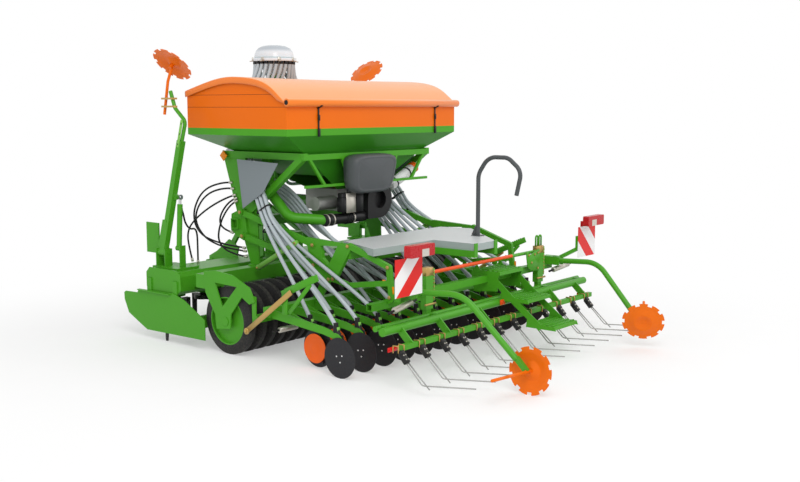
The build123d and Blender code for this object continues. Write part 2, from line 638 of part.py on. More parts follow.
def coulter(k):
    # One coulter at its place: arm, boot, steel disc and depth disc. Odd rows stand in front, turned about
    x = row_x[k]
    y = front_row_y if k % 2 else rear_row_y
    s = -1 if k % 2 else 1
    rear = toolbar_at[0] - toolbar_size / 2
    z = coulter_axis_z
    foot = arm_foot_half
    boot_face = arm_thick / 2 + boot_thick
    depth_offset = boot_face + side_gap
    outline = [(rear, 445), (y + arm_drop, 380), (y + 25, 346), (y - foot, 300), (y - foot, z), (y + foot, z),
               (y + foot, 268), (y + 55, 298), (y + arm_drop, 322), (rear, 375)]
    arm = plate_yz(outline, x, arm_thick)
    arm += rod((x - s * arm_thick / 2, y, z), (x + s * boot_face, y, z), hub_boss_radius)
    arm -= rod((x - 60, y, z), (x + 60, y, z), disc_shaft_radius + bearing_gap)
    boot_x = x + s * (arm_thick + boot_thick) / 2
    boot = plate_yz([(y + 60, boot_top - 58), (y - 10, boot_top - 58), (y - 62, 170), (y - 80, 40), (y - 40, 32),
                     (y - 34, 160), (y + 34, 285)], boot_x, boot_thick)
    boot += rod((boot_x, y + 20, boot_top - 80), (boot_x, y + boot_mouth, boot_top), boot_tube_radius)
    boot -= arm
    steel = rod((x - s * (disc_offset + disc_thick), y, z), (x - s * disc_offset, y, z), disc_radius)
    steel += rod((x - s * disc_offset, y, z), (x - s * (arm_thick / 2 + bearing_gap), y, z), 30)
    steel += rod((x - s * (disc_offset + disc_thick), y, z), (x + s * depth_offset, y, z), disc_shaft_radius)
    depth = rod((x + s * depth_offset, y, z), (x + s * (depth_offset + depth_disc_thick), y, z), depth_disc_radius)
    depth += rod((x + s * (boot_face + bearing_gap), y, z), (x + s * depth_offset, y, z), 30)
    depth -= rod((x, y, z), (x + s * depth_offset, y, z), disc_shaft_radius)
    return arm, boot, steel, depth


coulters = [coulter(k) for k in range(row_count)]
parts["coulter_arms"] = Compound([c[0] for c in coulters])
parts["seed_boots"] = Compound([c[1] for c in coulters])
for row, name in ((1, "front"), (0, "rear")):
    parts[f"{name}_steel_discs"] = Compound([c[2] for c in coulters[row::2]])
    parts[f"{name}_depth_discs"] = Compound([c[3] for c in coulters[row::2]])

# Handrail
rail_points = [(handrail_x, y, z) for y, z in handrail_points]
parts["handrail"] = bent(rail_points, rail_radius, handrail_bends) + block(
    (handrail_x - handrail_foot, handrail_x + handrail_foot),
    (handrail_points[0][0] - handrail_foot, handrail_points[0][0] + handrail_foot), (board_top, board_top + 8)) + plate_yz(
    handrail_gusset, handrail_x, 8)

# Steps
treads = [block(step_x, (y, y + tread_depth), (z - tread_thick, z)) for y, z in tread_rear]
strings = []
for x in step_x:
    inward = x + string_thick / 2 if x == step_x[0] else x - string_thick / 2
    line = [string_top] + [(y + tread_depth / 2, z - tread_thick) for y, z in tread_rear[1:]]
    for a, b in zip(line, line[1:]):
        strings.append(bar((inward, *a), (inward, *b), string_thick, string_high))
    strings.append(plate_yz(upper_cheek, inward, string_thick))
    for y, z in tread_rear[1:]:
        strings.append(plate_yz([(y + a, z + b) for a, b in tread_cheek], inward, string_thick))
steps = (Part() + treads + strings) - parts["coulter_frame"]

# Columns that carry the following harrow
column_front = rear_tube_at[0] - cross_tube_size / 2
columns = both(block((column_x - column_size[0] / 2, column_x + column_size[0] / 2),
                     (column_front - column_size[1], column_front), column_z))
column_mid = column_front - column_size[1] / 2
adjusting_bar = rod((-column_x, column_mid, adjusting_bar_z), (column_x, column_mid, adjusting_bar_z), adjusting_bar_radius)
parts["depth_adjusters"] = Part() + [columns, adjusting_bar]
carriers = both(block((column_x - 30, column_x + 30), (column_mid - 20, column_mid + 20), (440, column_z[0])))
tube_rear = rod((-harrow_half, *harrow_tube), (harrow_half, *harrow_tube), harrow_tube_radius)
tube_front = rod((-harrow_half, *harrow_front_tube), (harrow_half, *harrow_front_tube), harrow_front_radius)
straps = [block((x - 25, x + 25), (harrow_tube[0], harrow_front_tube[0]), (430, 470))
          for x in (harrow_strap_inset - harrow_half, -column_x, column_x, harrow_half - harrow_strap_inset)]
bar_arms = [bar((x, *harrow_tube), (x, *tine_bar_at), 12, 60) for x in tine_bar_arm_x]
tine_bar = square_beam(tine_bar_at, tine_bar_size, tine_bar_half)
parts["harrow_frame"] = Part() + [carriers, tube_rear, tube_front, tine_bar, *straps, *bar_arms]
parts["steps"] = steps - parts["harrow_frame"]

# Tine holders and spring tines
holder_y = tine_bar_at[0] - tine_bar_size / 2
harrow_x = [harrow_pitch * (k - (harrow_count - 1) / 2) for k in range(harrow_count)]
holders = []
tines = []
for x in harrow_x:
    foot_z = tine_bar_at[1] + tine_bar_size / 2 - holder_box[2]
    box = block((x - holder_box[0] / 2, x + holder_box[0] / 2), (holder_y - holder_box[1], holder_y),
                (foot_z, foot_z + holder_box[2]))
    holders.append(box)
    start = (x - 12, holder_y - holder_box[1] / 2, foot_z)
    bend = (x - 12, start[1] - tine_bend_back, tine_wire)
    trail = (bend[0] + tine_trail[0], bend[1] + tine_trail[1], tine_wire)
    tines.append(bent([start, bend, trail], tine_wire, 45))
    tines.append(rod((x + 12, start[1], foot_z), (x + 12, bend[1] - 8, tine_wire + 25), tine_wire))
parts["tine_holders"] = Compound(holders)
parts["harrow_tines"] = Compound([t - h for t, h in zip(tines, [h for h in holders for _ in range(2)])])

# Boards and lamps
parts["warning_boards"] = boards
lamp = fillet(block(lamp_x, lamp_y, lamp_z).edges().filter_by(Axis.Y), 14)
lamp += block((1280, 1330), (lamp_y[1], sign_y + 40), (lamp_z[0], lamp_z[0] + 30))
lamp += block((1280, 1330), (sign_y + sign_thick / 2, sign_y + 40), (sign_z[1] - 45, lamp_z[0] + 30))
parts["rear_lamps"] = both(lamp)

# Track markers
pivot_x, pivot_z = marker_pivot
eye = rod((pivot_x, marker_eye_y[0], pivot_z), (pivot_x, marker_eye_y[1], pivot_z), marker_eye_radius)
arm = bar(*marker_arm_points, marker_tube, marker_tube) + plate_yz(marker_gusset, pivot_x, marker_tube - 14)
slide = bent(marker_slide_points, marker_slide_radius, 60)
rod_piece = bent(marker_rod_points, marker_rod_radius, 60)
clamp_x = marker_slide_points[-1][0]
clamps = [block((clamp_x - 26, clamp_x + 26), (800, 960), (z - 8, z + 8)) for z in (2090, 2160)]
lug_z = pivot_z + cylinder_arm_height
eye_x = pivot_x + cylinder_inboard
lug_y = cylinder_y + cylinder_eye_width / 2 + 5
lug = block((pivot_x + 10, eye_x + 14), (lug_y, lug_y + 30), (lug_z - 22, lug_z + 22))
pin_hole = rod((pivot_x, 700, pivot_z), (pivot_x, 1100, pivot_z), marker_pin_radius + bearing_gap)
marker = (Part() + [eye, arm, slide, rod_piece, *clamps, lug]) - pin_hole
axis = Vector(*marker_disc_axis).normalized()
tip_point = Vector(*marker_disc_at) - axis * 12
marker += rod(tuple(tip_point - axis * 40), tuple(tip_point), 16)
parts["marker_arm_left"] = marker
parts["marker_arm_right"] = mirrored(marker)


def toothed_disc(radius, origin, axis):
    # A dished disc with a toothed rim and a hub; its axis leaves the hub's side
    dish = revolve(Plane.XZ * make_face(Polyline((0, 10), (26, 10), (70, 26), (80, 26), (radius - 45, 8),
                                                 (radius, 2), (radius, -3), (radius - 45, 3), (80, 20), (70, 20),
                                                 (28, 0), (0, 0), close=True).edges()), Axis.Z)
    notch = [Rot(0, 0, 36 * k) * (Pos(radius, 0, 0) * Box(44, 38, 60)) for k in range(10)]
    return Plane(origin=origin, z_dir=axis) * (dish - notch)


disc = toothed_disc(marker_disc_radius, tuple(Vector(*marker_disc_at) - axis * 11.7), tuple(axis))
parts["marker_disc_left"] = disc
parts["marker_disc_right"] = mirrored(disc)

# Marker cylinders: the barrel's pin lies on a short lever from the fold axis, so the open eye drifts little
mid = radians(marker_fold / 2)
barrel_pin = (pivot_x + cylinder_lever * cos(mid), pivot_z + cylinder_lever * sin(mid))
rod_pin = (eye_x, lug_z)
run = (rod_pin[0] - barrel_pin[0], rod_pin[1] - barrel_pin[1])
length = hypot(*run)
along = (run[0] / length, run[1] / length)


def on_cylinder(distance):
    return (barrel_pin[0] + along[0] * distance, cylinder_y, barrel_pin[1] + along[1] * distance)


half_eye = cylinder_eye_width / 2
half_low = barrel_eye_width / 2
eye_low = rod((barrel_pin[0], cylinder_y - half_low, barrel_pin[1]),
              (barrel_pin[0], cylinder_y + half_low, barrel_pin[1]), cylinder_eye_radius)
barrel = eye_low + rod(on_cylinder(cylinder_eye_radius - 6), on_cylinder(barrel_length), barrel_radius)
barrel -= rod((barrel_pin[0], cylinder_y - 60, barrel_pin[1]), (barrel_pin[0], cylinder_y + 60, barrel_pin[1]),
              cylinder_pin_radius + bearing_gap)
barrel -= rod(on_cylinder(60), on_cylinder(barrel_length + 5), piston_rod_radius + bearing_gap)
parts["marker_barrel_left"] = barrel
parts["marker_barrel_right"] = mirrored(barrel)
eye_high = rod((rod_pin[0], cylinder_y - half_eye, rod_pin[1]), (rod_pin[0], cylinder_y + half_eye, rod_pin[1]),
               cylinder_eye_radius)
piston = eye_high + rod(on_cylinder(70), on_cylinder(length - 18), piston_rod_radius)
piston += rod((rod_pin[0], cylinder_y - half_eye - 6, rod_pin[1]), (rod_pin[0], lug_y - open_eye_gap, rod_pin[1]),
              cylinder_pin_radius)
parts["marker_rod_left"] = piston
parts["marker_rod_right"] = mirrored(piston)

# Brackets of the track markers on the trough
ears = [block((pivot_x - 40, pivot_x + 40), (y, y + marker_ear_thick), (trough_top + 15, pivot_z + 36))
        for y in (marker_eye_y[0] - marker_ear_thick - bearing_gap, marker_eye_y[1] + bearing_gap)]
base = block((pivot_x - marker_base_half, -1190), (700, marker_eye_y[1] + 25), (trough_top, trough_top + 20))
fold_pin = rod((pivot_x, marker_eye_y[0] - 18, pivot_z), (pivot_x, marker_eye_y[1] + 18, pivot_z), marker_pin_radius)
post_y = cylinder_y - half_low - bearing_gap
post = block((barrel_pin[0] - 22, barrel_pin[0] + 40), (post_y - 14, post_y), (trough_top + 15, barrel_pin[1] + 24))
post_pin = rod((barrel_pin[0], post_y - 8, barrel_pin[1]),
               (barrel_pin[0], cylinder_y + half_low + 4, barrel_pin[1]), cylinder_pin_radius)
front_plate = block(front_plate_x, front_plate_y, front_plate_z)
front_stay = block(front_plate_x, (960, front_plate_y[0] + 20), (trough_top + 15, front_plate_z[0] + 60))
bracket_left = Part() + [*ears, base, fold_pin, post, post_pin, front_plate, front_stay]
parts["marker_brackets"] = both(bracket_left)

# Row marker arms and discs
row_arm = bent(row_arm_points, row_arm_radius, row_arm_bend)
x, y, z = row_arm_pivot
row_eye = rod((x - 30, y, z), (x + 30, y, z), 38) - rod((x - 60, y, z), (x + 60, y, z), 15 + bearing_gap)
end = Vector(*row_arm_points[-1])
row_arm = row_arm - rod((x - 60, y, z), (x + 60, y, z), 15 + bearing_gap)


def row_marker(centre, direction):
    # The left arm with its axle, and the disc on the axle's end; the axle lies outboard of the disc
    axle = direction.normalized()
    link = centre - axle * ((centre.X - end.X) / axle.X)
    carrier = bar(tuple(end + Vector(0, 0, 12)), tuple(link), 30, 40)
    piece = Part() + [row_arm, row_eye, carrier, rod(tuple(centre - axle * row_axle_length), tuple(centre - axle * 12), 12)]
    return piece, toothed_disc(row_disc_radius, tuple(centre - axle * 11.7), tuple(axle))


row_axis_left = Vector(*row_disc_axis)
row_axis_right = Vector(-row_disc_right_axis[0], *row_disc_right_axis[1:])
left_marker, left_disc = row_marker(Vector(*row_disc_at), row_axis_left)
right_marker, right_disc = row_marker(Vector(-row_disc_right_at[0], *row_disc_right_at[1:]), row_axis_right)
parts["row_marker_arm_left"] = left_marker
parts["row_marker_arm_right"] = mirrored(right_marker)
parts["row_marker_disc_left"] = left_disc
parts["row_marker_disc_right"] = mirrored(right_disc)
fork = [block((x + a, x + b), (y - 40, rear_tube_at[0]), (z - 36, z + 40)) for a, b in ((-44, -30.3), (30.3, 44))]
fork_back = block((x - 44, x + 44), (y + 45, rear_tube_at[0] + 15), (rear_tube_at[1] + cross_tube_size / 2, z + 40))
fork_pin = rod((x - 44, y, z), (x + 44, y, z), 15)
fork_shape = (Part() + [*fork, fork_back, fork_pin])
parts["row_marker_brackets"] = both(fork_shape) - parts["coulter_frame"]

# The origin goes under the middle of the box
front_end = link_plate_outline[5][0]
rear_end = row_disc_at[1] - row_disc_radius
shift = -(front_end + rear_end) / 2
for name, shape in parts.items():
    export_step(Pos(0, shift, 0) * shape, f"parts/{name}.step")
print(len(parts), "nodes, shifted", shift)
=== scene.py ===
import math

import bpy
import numpy as np
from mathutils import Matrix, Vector


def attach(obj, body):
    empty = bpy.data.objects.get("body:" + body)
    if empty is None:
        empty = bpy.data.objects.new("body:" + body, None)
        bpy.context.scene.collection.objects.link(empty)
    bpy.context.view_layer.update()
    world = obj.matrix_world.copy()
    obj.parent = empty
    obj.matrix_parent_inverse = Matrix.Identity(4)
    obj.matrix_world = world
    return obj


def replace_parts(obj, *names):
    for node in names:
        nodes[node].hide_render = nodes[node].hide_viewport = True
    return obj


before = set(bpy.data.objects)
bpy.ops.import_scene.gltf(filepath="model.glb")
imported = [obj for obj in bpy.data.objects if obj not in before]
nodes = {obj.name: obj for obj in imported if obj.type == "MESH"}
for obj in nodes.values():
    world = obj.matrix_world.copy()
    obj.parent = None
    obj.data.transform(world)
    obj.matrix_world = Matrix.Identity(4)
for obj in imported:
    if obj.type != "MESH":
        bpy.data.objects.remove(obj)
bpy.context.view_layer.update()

shift = 0.691        # the roller's axis in the row frame, along Y, in metres
alongX, alongY, alongZ = (1.0, 0.0, 0.0), (0.0, 1.0, 0.0), (0.0, 0.0, 1.0)

# Camera: from behind on the left, at head height
view = {"place": (-7.1361, -5.8145, 2.0799), "heading": 39.2225, "down": 7.427, "lens": 46.03, "sensor": 36.0,
        "reach": 200.0}
lens = bpy.data.cameras.new("viewCamera")
lens.sensor_width = view["sensor"]
lens.lens = view["lens"]
lens.clip_end = view["reach"]
camera = bpy.data.objects.new("viewCamera", lens)
bpy.context.scene.collection.objects.link(camera)
camera.location = view["place"]
camera.rotation_euler = (math.radians(90 - view["down"]), 0, math.radians(view["heading"] - 90))
bpy.context.scene.camera = camera


# Mesh helpers: every surface is worked out as whole arrays; made holds the finishes by name
def addMesh(name, surface, finish, body="root", smooth=True):
    # One piece from a (verts, faces) pair or from a list of them
    verts, faces = joined(surface) if isinstance(surface, list) else surface
    mesh = bpy.data.meshes.new(name)
    mesh.from_pydata(np.asarray(verts, float).reshape(-1, 3).tolist(), [], [list(f) for f in faces])
    mesh.update()
    mesh.shade_smooth() if smooth else mesh.shade_flat()
    piece = bpy.data.objects.new(name, mesh)
    bpy.context.scene.collection.objects.link(piece)
    mesh.materials.append(made[finish])
    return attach(piece, body)


def gridFaces(rows, cols, closeRows=False, closeCols=False):
    # Quads between the neighbours of a rows by cols grid of points
    r = np.arange(rows if closeRows else rows - 1)
    c = np.arange(cols if closeCols else cols - 1)
    r, c = np.meshgrid(r, c, indexing="ij")
    r1, c1 = (r + 1) % rows, (c + 1) % cols
    return np.stack([r * cols + c, r * cols + c1, r1 * cols + c1, r1 * cols + c], -1).reshape(-1, 4).tolist()


def capped(rings):
    # Rings of points, one after the other, closed round and with a face over the first and the last
    count, sides = rings.shape[:2]
    faces = gridFaces(count, sides, closeCols=True)
    faces += [list(range(sides - 1, -1, -1)), list(range((count - 1) * sides, count * sides))]
    return rings.reshape(-1, 3), faces


def joined(parts):
    # Several (verts, faces) pairs as one
    verts, faces, start = [], [], 0
    for v, f in parts:
        verts.append(v)
        faces += [[i + start for i in face] for face in f]
        start += len(v)
    return np.concatenate(verts), faces


def at(x, y, z):
    # A point given from the roller's axis, in metres
    return np.array([x, y + shift, z])


def sideOf(axis, side=None):
    # Two directions square to an axis: the given one made square, or the level one, and their cross product
    axis = np.asarray(axis, float) / np.linalg.norm(axis)
    if side is None:
        side = alongX if abs(axis[2]) > 0.95 else np.cross(alongZ, axis)
    side = np.asarray(side, float) - np.dot(side, axis) * axis
    side /= np.linalg.norm(side)
    return axis, side, np.cross(axis, side)


def turned(profile, origin, axis, sides=16, side=None):
    # A profile of (radius, height) pairs turned about an axis through origin: origin + height axis + radius ring
    profile = np.asarray(profile, float)
    axis, u, v = sideOf(axis, side)
    a = np.linspace(0, 2 * math.pi, sides, endpoint=False)
    ring = np.cos(a)[:, None] * u + np.sin(a)[:, None] * v
    out, up = profile[:, 0][:, None, None], profile[:, 1][:, None, None]
    return capped(np.asarray(origin) + out * ring[None] + up * axis)


def collar(inner, outer, long, edge, origin, axis, sides=24):
    # A short round bar or band: its radius rises from inner to outer over the edge at both ends
    return turned([(inner, 0), (outer, edge), (outer, long - edge), (inner, long)], origin, axis, sides)


def bolt(size, place, axis, sides=6):
    # A bolt head: a straight wall under a face drawn in; size is its radius, wall, face radius and height
    radius, wall, face, high = size
    return turned([(radius, 0), (radius, wall), (face, high)], place, axis, sides)


def roundedSquare(points, power):
    # A superellipse that reaches 1 each way: sign(cos) |cos|^power and sign(sin) |sin|^power
    a = np.linspace(0, 2 * math.pi, points, endpoint=False)
    return [np.sign(s) * np.abs(s) ** power for s in (np.cos(a), np.sin(a))]


def rod(a, b, radius, sides=12, edge=0.0015):
    # A round bar from a to b with its two edges broken
    run = np.subtract(b, a)
    return collar(radius - edge, radius, float(np.linalg.norm(run)), edge, a, run, sides)


def beam(a, b, wide, high, edge=0.0015, side=None):
    # A flat bar from a to b: an eight-cornered section, wide along side, drawn in by the edge at both ends
    length = float(np.linalg.norm(np.subtract(b, a)))
    axis, u, v = sideOf(np.subtract(b, a), side)
    w, h = wide / 2, high / 2
    section = np.array([(w - edge, -h), (w, edge - h), (w, h - edge), (w - edge, h),
                        (edge - w, h), (-w, h - edge), (-w, edge - h), (edge - w, -h)])
    steps = np.array([(0, 1), (edge, 0), (length - edge, 0), (length, 1)])
    shrink = section - np.sign(section) * edge
    ring = np.where(steps[:, 1][:, None, None] > 0, shrink[None], section[None])
    return capped(np.asarray(a) + ring[..., :1] * u + ring[..., 1:] * v + steps[:, 0][:, None, None] * axis)


def post(x, y, low, high, wide, thick, edge=0.0015):
    # An upright flat bar, wide along X
    return beam(at(x, y, low), at(x, y, high), wide, thick, edge, side=alongX)


def frames(path):
    # Side and up of a path at each point: the side is square to the tangent and lies in the path's best plane
    tangent = np.gradient(path, axis=0)
    tangent /= np.linalg.norm(tangent, axis=1)[:, None]
    flat = np.linalg.svd(path - path.mean(0))[2][2]
    side = np.cross(tangent, flat)
    side /= np.linalg.norm(side, axis=1)[:, None]
    return side, np.cross(tangent, side)


def tube(path, radius, sides=8):
    # A ring of radius r at each point of the path: point + r (cos a side + sin a up)
    path = np.asarray(path, float)
    side, up = frames(path)
    a = np.linspace(0, 2 * math.pi, sides, endpoint=False)
    r = np.broadcast_to(np.asarray(radius, float), (len(path),))[:, None, None]
    return capped(path[:, None] + r * (np.cos(a)[None, :, None] * side[:, None]
                                       + np.sin(a)[None, :, None] * up[:, None]))


def smoothLine(points, resolution=16):
    # Points along the NURBS spline that has the route's points as its control points
    curve = bpy.data.curves.new("line", "CURVE")
    curve.dimensions = "3D"
    curve.resolution_u = resolution
    spline = curve.splines.new("NURBS")
    spline.points.add(len(points) - 1)
    spline.points.foreach_set("co", np.append(np.asarray(points, float), np.ones((len(points), 1)), 1).ravel())
    spline.order_u = 3
    spline.use_endpoint_u = True
    holder = bpy.data.objects.new("line", curve)
    mesh = bpy.data.meshes.new_from_object(holder)
    line = np.empty(len(mesh.vertices) * 3)
    mesh.vertices.foreach_get("co", line)
    bpy.data.objects.remove(holder)
    bpy.data.curves.remove(curve)
    bpy.data.meshes.remove(mesh)
    return line.reshape(-1, 3)


def evenly(line, step):
    # The same line with its points a step apart along it, and its length
    run = np.append(0, np.cumsum(np.linalg.norm(np.diff(line, axis=0), axis=1)))
    s = np.linspace(0, run[-1], max(3, int(round(run[-1] / step)) + 1))
    return np.stack([np.interp(s, run, line[:, k]) for k in range(3)], 1), float(run[-1])


# Shader helpers
def socket(tree, name, way, kind, value=None):
    s = tree.interface.new_socket(name=name, in_out=way, socket_type=kind)
    if value is not None:
        s.default_value = value
    return s


class Nodes:
    # Adds and joins the nodes of one tree
    def __init__(self, tree):
        self.tree = tree

    def add(self, kind, inputs=None, **settings):
        node = self.tree.nodes.new(kind)
        for key, value in settings.items():
            setattr(node, key, value)
        for key, value in (inputs or {}).items():
            if isinstance(value, bpy.types.NodeSocket):
                self.tree.links.new(value, node.inputs[key])
            else:
                node.inputs[key].default_value = value
        return node

    def noise(self, vector, scale, detail=3.0, rough=0.55):
        return self.add("ShaderNodeTexNoise", {"Vector": vector, "Scale": scale, "Detail": detail,
                                               "Roughness": rough}).outputs["Fac"]

    def math(self, operation, a, b=0.0, c=0.0):
        return self.add("ShaderNodeMath", {0: a, 1: b, 2: c}, operation=operation).outputs[0]

    def ramp(self, value, low, high, to=(0.0, 1.0)):
        return self.add("ShaderNodeMapRange", {"Value": value, "From Min": low, "From Max": high, "To Min": to[0],
                                               "To Max": to[1]}, interpolation_type="SMOOTHSTEP").outputs["Result"]

    def mix(self, fac, a, b):
        return self.add("ShaderNodeMix", {"Factor": fac, 6: a, 7: b}, data_type="RGBA").outputs[2]

    def place(self):
        return self.add("ShaderNodeTexCoord").outputs["Object"]

    def split(self, vector):
        # X, Y and Z of a vector
        return list(self.add("ShaderNodeSeparateXYZ", {"Vector": vector}).outputs)

    def near(self, value, middle, half):
        # 1 where the value is within half of the middle
        return self.math("LESS_THAN", self.math("ABSOLUTE", self.math("SUBTRACT", value, middle)), half)


# Paint or moulding: uneven tone, fine grain, dust that lies low and on what faces up, worn gloss
wear = {"broad": (2.6, 4), "fineDetail": 2, "speck": (55.0, 5, 0.7), "dustBelow": 1.0, "facing": (0.2, 1.0),
        "onTop": 0.6, "low": 0.5, "patches": (0.35, 0.75), "dust": (0.42, 0.37, 0.29, 1), "speckGloss": 0.14,
        "dustGloss": 0.5, "glossMiddle": 0.07, "grainDepth": 0.001}


def finishGroup():
    # Tone = 1 + vary (broad noise - 1/2); dust = (facing up + low) dust patches; gloss rises with specks and dust
    tree = bpy.data.node_groups.new("surfaceFinish", "ShaderNodeTree")
    for name, kind, value in (("Color", "NodeSocketColor", (0.5, 0.5, 0.5, 1)), ("Vary", "NodeSocketFloat", 0.1),
                              ("Grain", "NodeSocketFloat", 300.0), ("Depth", "NodeSocketFloat", 0.1),
                              ("Gloss", "NodeSocketFloat", 0.3), ("Dust", "NodeSocketFloat", 0.2)):
        socket(tree, name, "INPUT", kind, value)
    for name, kind in (("Color", "NodeSocketColor"), ("Roughness", "NodeSocketFloat"), ("Normal", "NodeSocketVector")):
        socket(tree, name, "OUTPUT", kind)
    n = Nodes(tree)
    given = n.add("NodeGroupInput").outputs
    place = n.place()
    broad = n.noise(place, *wear["broad"])
    fine = n.noise(place, given["Grain"], wear["fineDetail"])
    speck = n.noise(place, *wear["speck"])
    tone = n.math("MULTIPLY_ADD", n.math("SUBTRACT", broad, 0.5), given["Vary"], 1.0)
    toned = n.add("ShaderNodeHueSaturation", {"Value": tone, "Color": given["Color"]}).outputs["Color"]
    facing = n.split(n.add("ShaderNodeNewGeometry").outputs["Normal"])[2]
    low = n.ramp(n.split(place)[2], wear["dustBelow"], 0.0)
    settle = n.math("ADD", n.math("MULTIPLY", n.ramp(facing, *wear["facing"]), wear["onTop"]),
                    n.math("MULTIPLY", low, wear["low"]))
    dust = n.math("MULTIPLY", n.math("MULTIPLY", settle, given["Dust"]), n.ramp(speck, *wear["patches"]))
    colour = n.mix(dust, toned, wear["dust"])
    worn = n.math("MULTIPLY_ADD", speck, wear["speckGloss"], n.math("MULTIPLY", dust, wear["dustGloss"]))
    rough = n.math("SUBTRACT", n.math("ADD", given["Gloss"], worn), wear["glossMiddle"])
    bump = n.add("ShaderNodeBump", {"Strength": given["Depth"], "Distance": wear["grainDepth"], "Height": fine})
    n.add("NodeGroupOutput", {"Color": colour, "Roughness": rough, "Normal": bump.outputs["Normal"]})
    return tree


surfaceFinish = finishGroup()


def finished(name, colour, vary=0.12, grain=300.0, depth=0.12, gloss=0.3, dust=0.1, metallic=0.0, coat=0.0,
             specular=0.25, recolour=None):
    # One material on the shared finish, in a named colour; recolour may change the colour before it
    material = bpy.data.materials.new(name)
    material.use_nodes = True
    tree = material.node_tree
    tree.nodes.clear()
    n = Nodes(tree)
    base = recolour(n, rgba(colour)) if recolour else rgba(colour)
    group = n.add("ShaderNodeGroup", node_tree=surfaceFinish)
    for key, value in (("Color", base), ("Vary", vary), ("Grain", grain), ("Depth", depth), ("Gloss", gloss),
                       ("Dust", dust)):
        if isinstance(value, bpy.types.NodeSocket):
            tree.links.new(value, group.inputs[key])
        else:
            group.inputs[key].default_value = value
    shader = n.add("ShaderNodeBsdfPrincipled", {"Base Color": group.outputs["Color"],
                                                "Roughness": group.outputs["Roughness"],
                                                "Normal": group.outputs["Normal"], "Metallic": metallic,
                                                "Coat Weight": coat, "Specular IOR Level": specular})
    n.add("ShaderNodeOutputMaterial", {"Surface": shader.outputs["BSDF"]})
    material.diffuse_color = rgba(colour)
    return material


# Colours, linear
colours = {
    # slopeShadeGreen is painted shade: the hopper's green as it looks on its shaded slopes
    "green": (0.066, 0.325, 0.014), "slopeShadeGreen": (0.034, 0.215, 0.012), "paleGreen": (0.210, 0.520, 0.085),
    "orange": (0.800, 0.148, 0.0005), "plasticOrange": (0.860, 0.120, 0.004), "lever": (0.780, 0.075, 0.004),
    "seam": (0.25, 0.045, 0.004), "amber": (0.850, 0.260, 0.004), "red": (0.70, 0.012, 0.010),
    # cover is the cloth's orange made pale by a painted reflection, for its upward faces; coverSide is its own orange
    "lampRed": (0.46, 0.006, 0.010), "cover": (0.900, 0.400, 0.170), "coverSide": (0.86, 0.205, 0.018),
    "black": (0.010, 0.010, 0.011), "rubber": (0.011, 0.011, 0.012), "blued": (0.026, 0.026, 0.030),
    "shield": (0.215, 0.245, 0.265), "hood": (0.085, 0.093, 0.098), "tube": (0.075, 0.082, 0.086),
    "board": (0.60, 0.63, 0.64), "rim": (0.36, 0.42, 0.41), "hose": (0.46, 0.51, 0.54),
    "domeGrey": (0.74, 0.78, 0.82), "domeShade": (0.46, 0.50, 0.54), "domeBand": (0.30, 0.42, 0.42),
    "cast": (0.42, 0.42, 0.40), "steel": (0.34, 0.34, 0.33), "chrome": (0.70, 0.70, 0.70),
    "zinc": (0.55, 0.52, 0.46), "gold": (0.50, 0.33, 0.11), "white": (0.82, 0.82, 0.82),
}


def rgba(name):
    return (*colours[name], 1.0)


# Hopper paint: orange above a straight edge, green below it, a darker green under the walls that is painted shade on
# the slopes, fine seams on the gables
hopperLook = {"edge": 1.902, "wallFoot": 1.8425, "seams": (2.190, 2.084), "seamHalf": 0.0022, "gable": 1.160}


def hopperColour(n, base):
    x, _, z = n.split(n.place())
    colour = n.mix(n.math("LESS_THAN", z, hopperLook["edge"]), base, rgba("green"))
    # Painted shade: the sloping walls below the walls' foot get a darker copy of the green
    colour = n.mix(n.math("LESS_THAN", z, hopperLook["wallFoot"]), colour, rgba("slopeShadeGreen"))
    onGable = n.math("GREATER_THAN", n.math("ABSOLUTE", x), hopperLook["gable"])
    for height in hopperLook["seams"]:
        colour = n.mix(n.math("MULTIPLY", n.near(z, height, hopperLook["seamHalf"]), onGable), colour, rgba("seam"))
    return colour


# Track marker arm: green tube and slide, orange disc rod, zinc clamps
armLook = {"rodFrom": 1.99, "rodOnly": 2.24, "rodY": 0.872 + shift, "clamps": (2.09, 2.16), "clampHalf": 0.0085}


def armColour(n, base):
    _, y, z = n.split(n.place())
    beside = n.math("MULTIPLY", n.math("GREATER_THAN", z, armLook["rodFrom"]),
                    n.math("GREATER_THAN", y, armLook["rodY"]))
    isRod = n.math("MAXIMUM", n.math("GREATER_THAN", z, armLook["rodOnly"]), beside)
    colour = n.mix(isRod, base, rgba("orange"))
    for height in armLook["clamps"]:
        colour = n.mix(n.near(z, height, armLook["clampHalf"]), colour, rgba("gold"))
    return colour


# Row marker arms: green, with an orange axle; a place on each disc's axis and the axis itself
rowLook = {"left": ((-0.905, -2.652, 0.180), (0.998, 0.0, -0.060)),
           "right": ((0.905, -2.652, 0.243), (-0.833, -0.399, -0.383)),
           "axleRadius": 0.0145}


def axleColour(side):
    # Orange within a radius of the disc's axis, a line through a place along a direction
    def colour(n, base):
        place, axis = rowLook[side]
        away = n.add("ShaderNodeVectorMath", {0: n.place(), 1: tuple(at(*place))}, operation="SUBTRACT").outputs[0]
        direction = tuple(np.asarray(axis) / np.linalg.norm(axis))
        across = n.add("ShaderNodeVectorMath", {0: away, 1: direction}, operation="CROSS_PRODUCT").outputs[0]
        length = n.add("ShaderNodeVectorMath", {0: across}, operation="LENGTH").outputs["Value"]
        return n.mix(n.math("LESS_THAN", length, rowLook["axleRadius"]), base, rgba("orange"))
    return colour


# Warning boards: slanting bands that rise inwards, from a white lower inner corner to a red outer one
boardLook = {"band": 0.155, "corner": 1.870}


def boardColour(n, base):
    x, _, z = n.split(n.place())
    slant = n.math("SUBTRACT", n.math("ADD", z, n.math("ABSOLUTE", x)), boardLook["corner"])
    share = n.math("FRACT", n.math("DIVIDE", slant, 2 * boardLook["band"]))
    return n.mix(n.math("LESS_THAN", share, 0.5), base, rgba("white"))


# Lamps: red housings with one clear square in the face
lampLook = {"clearX": (1.228, 1.312), "clearZ": (1.000, 1.056), "face": -1.94 + shift}


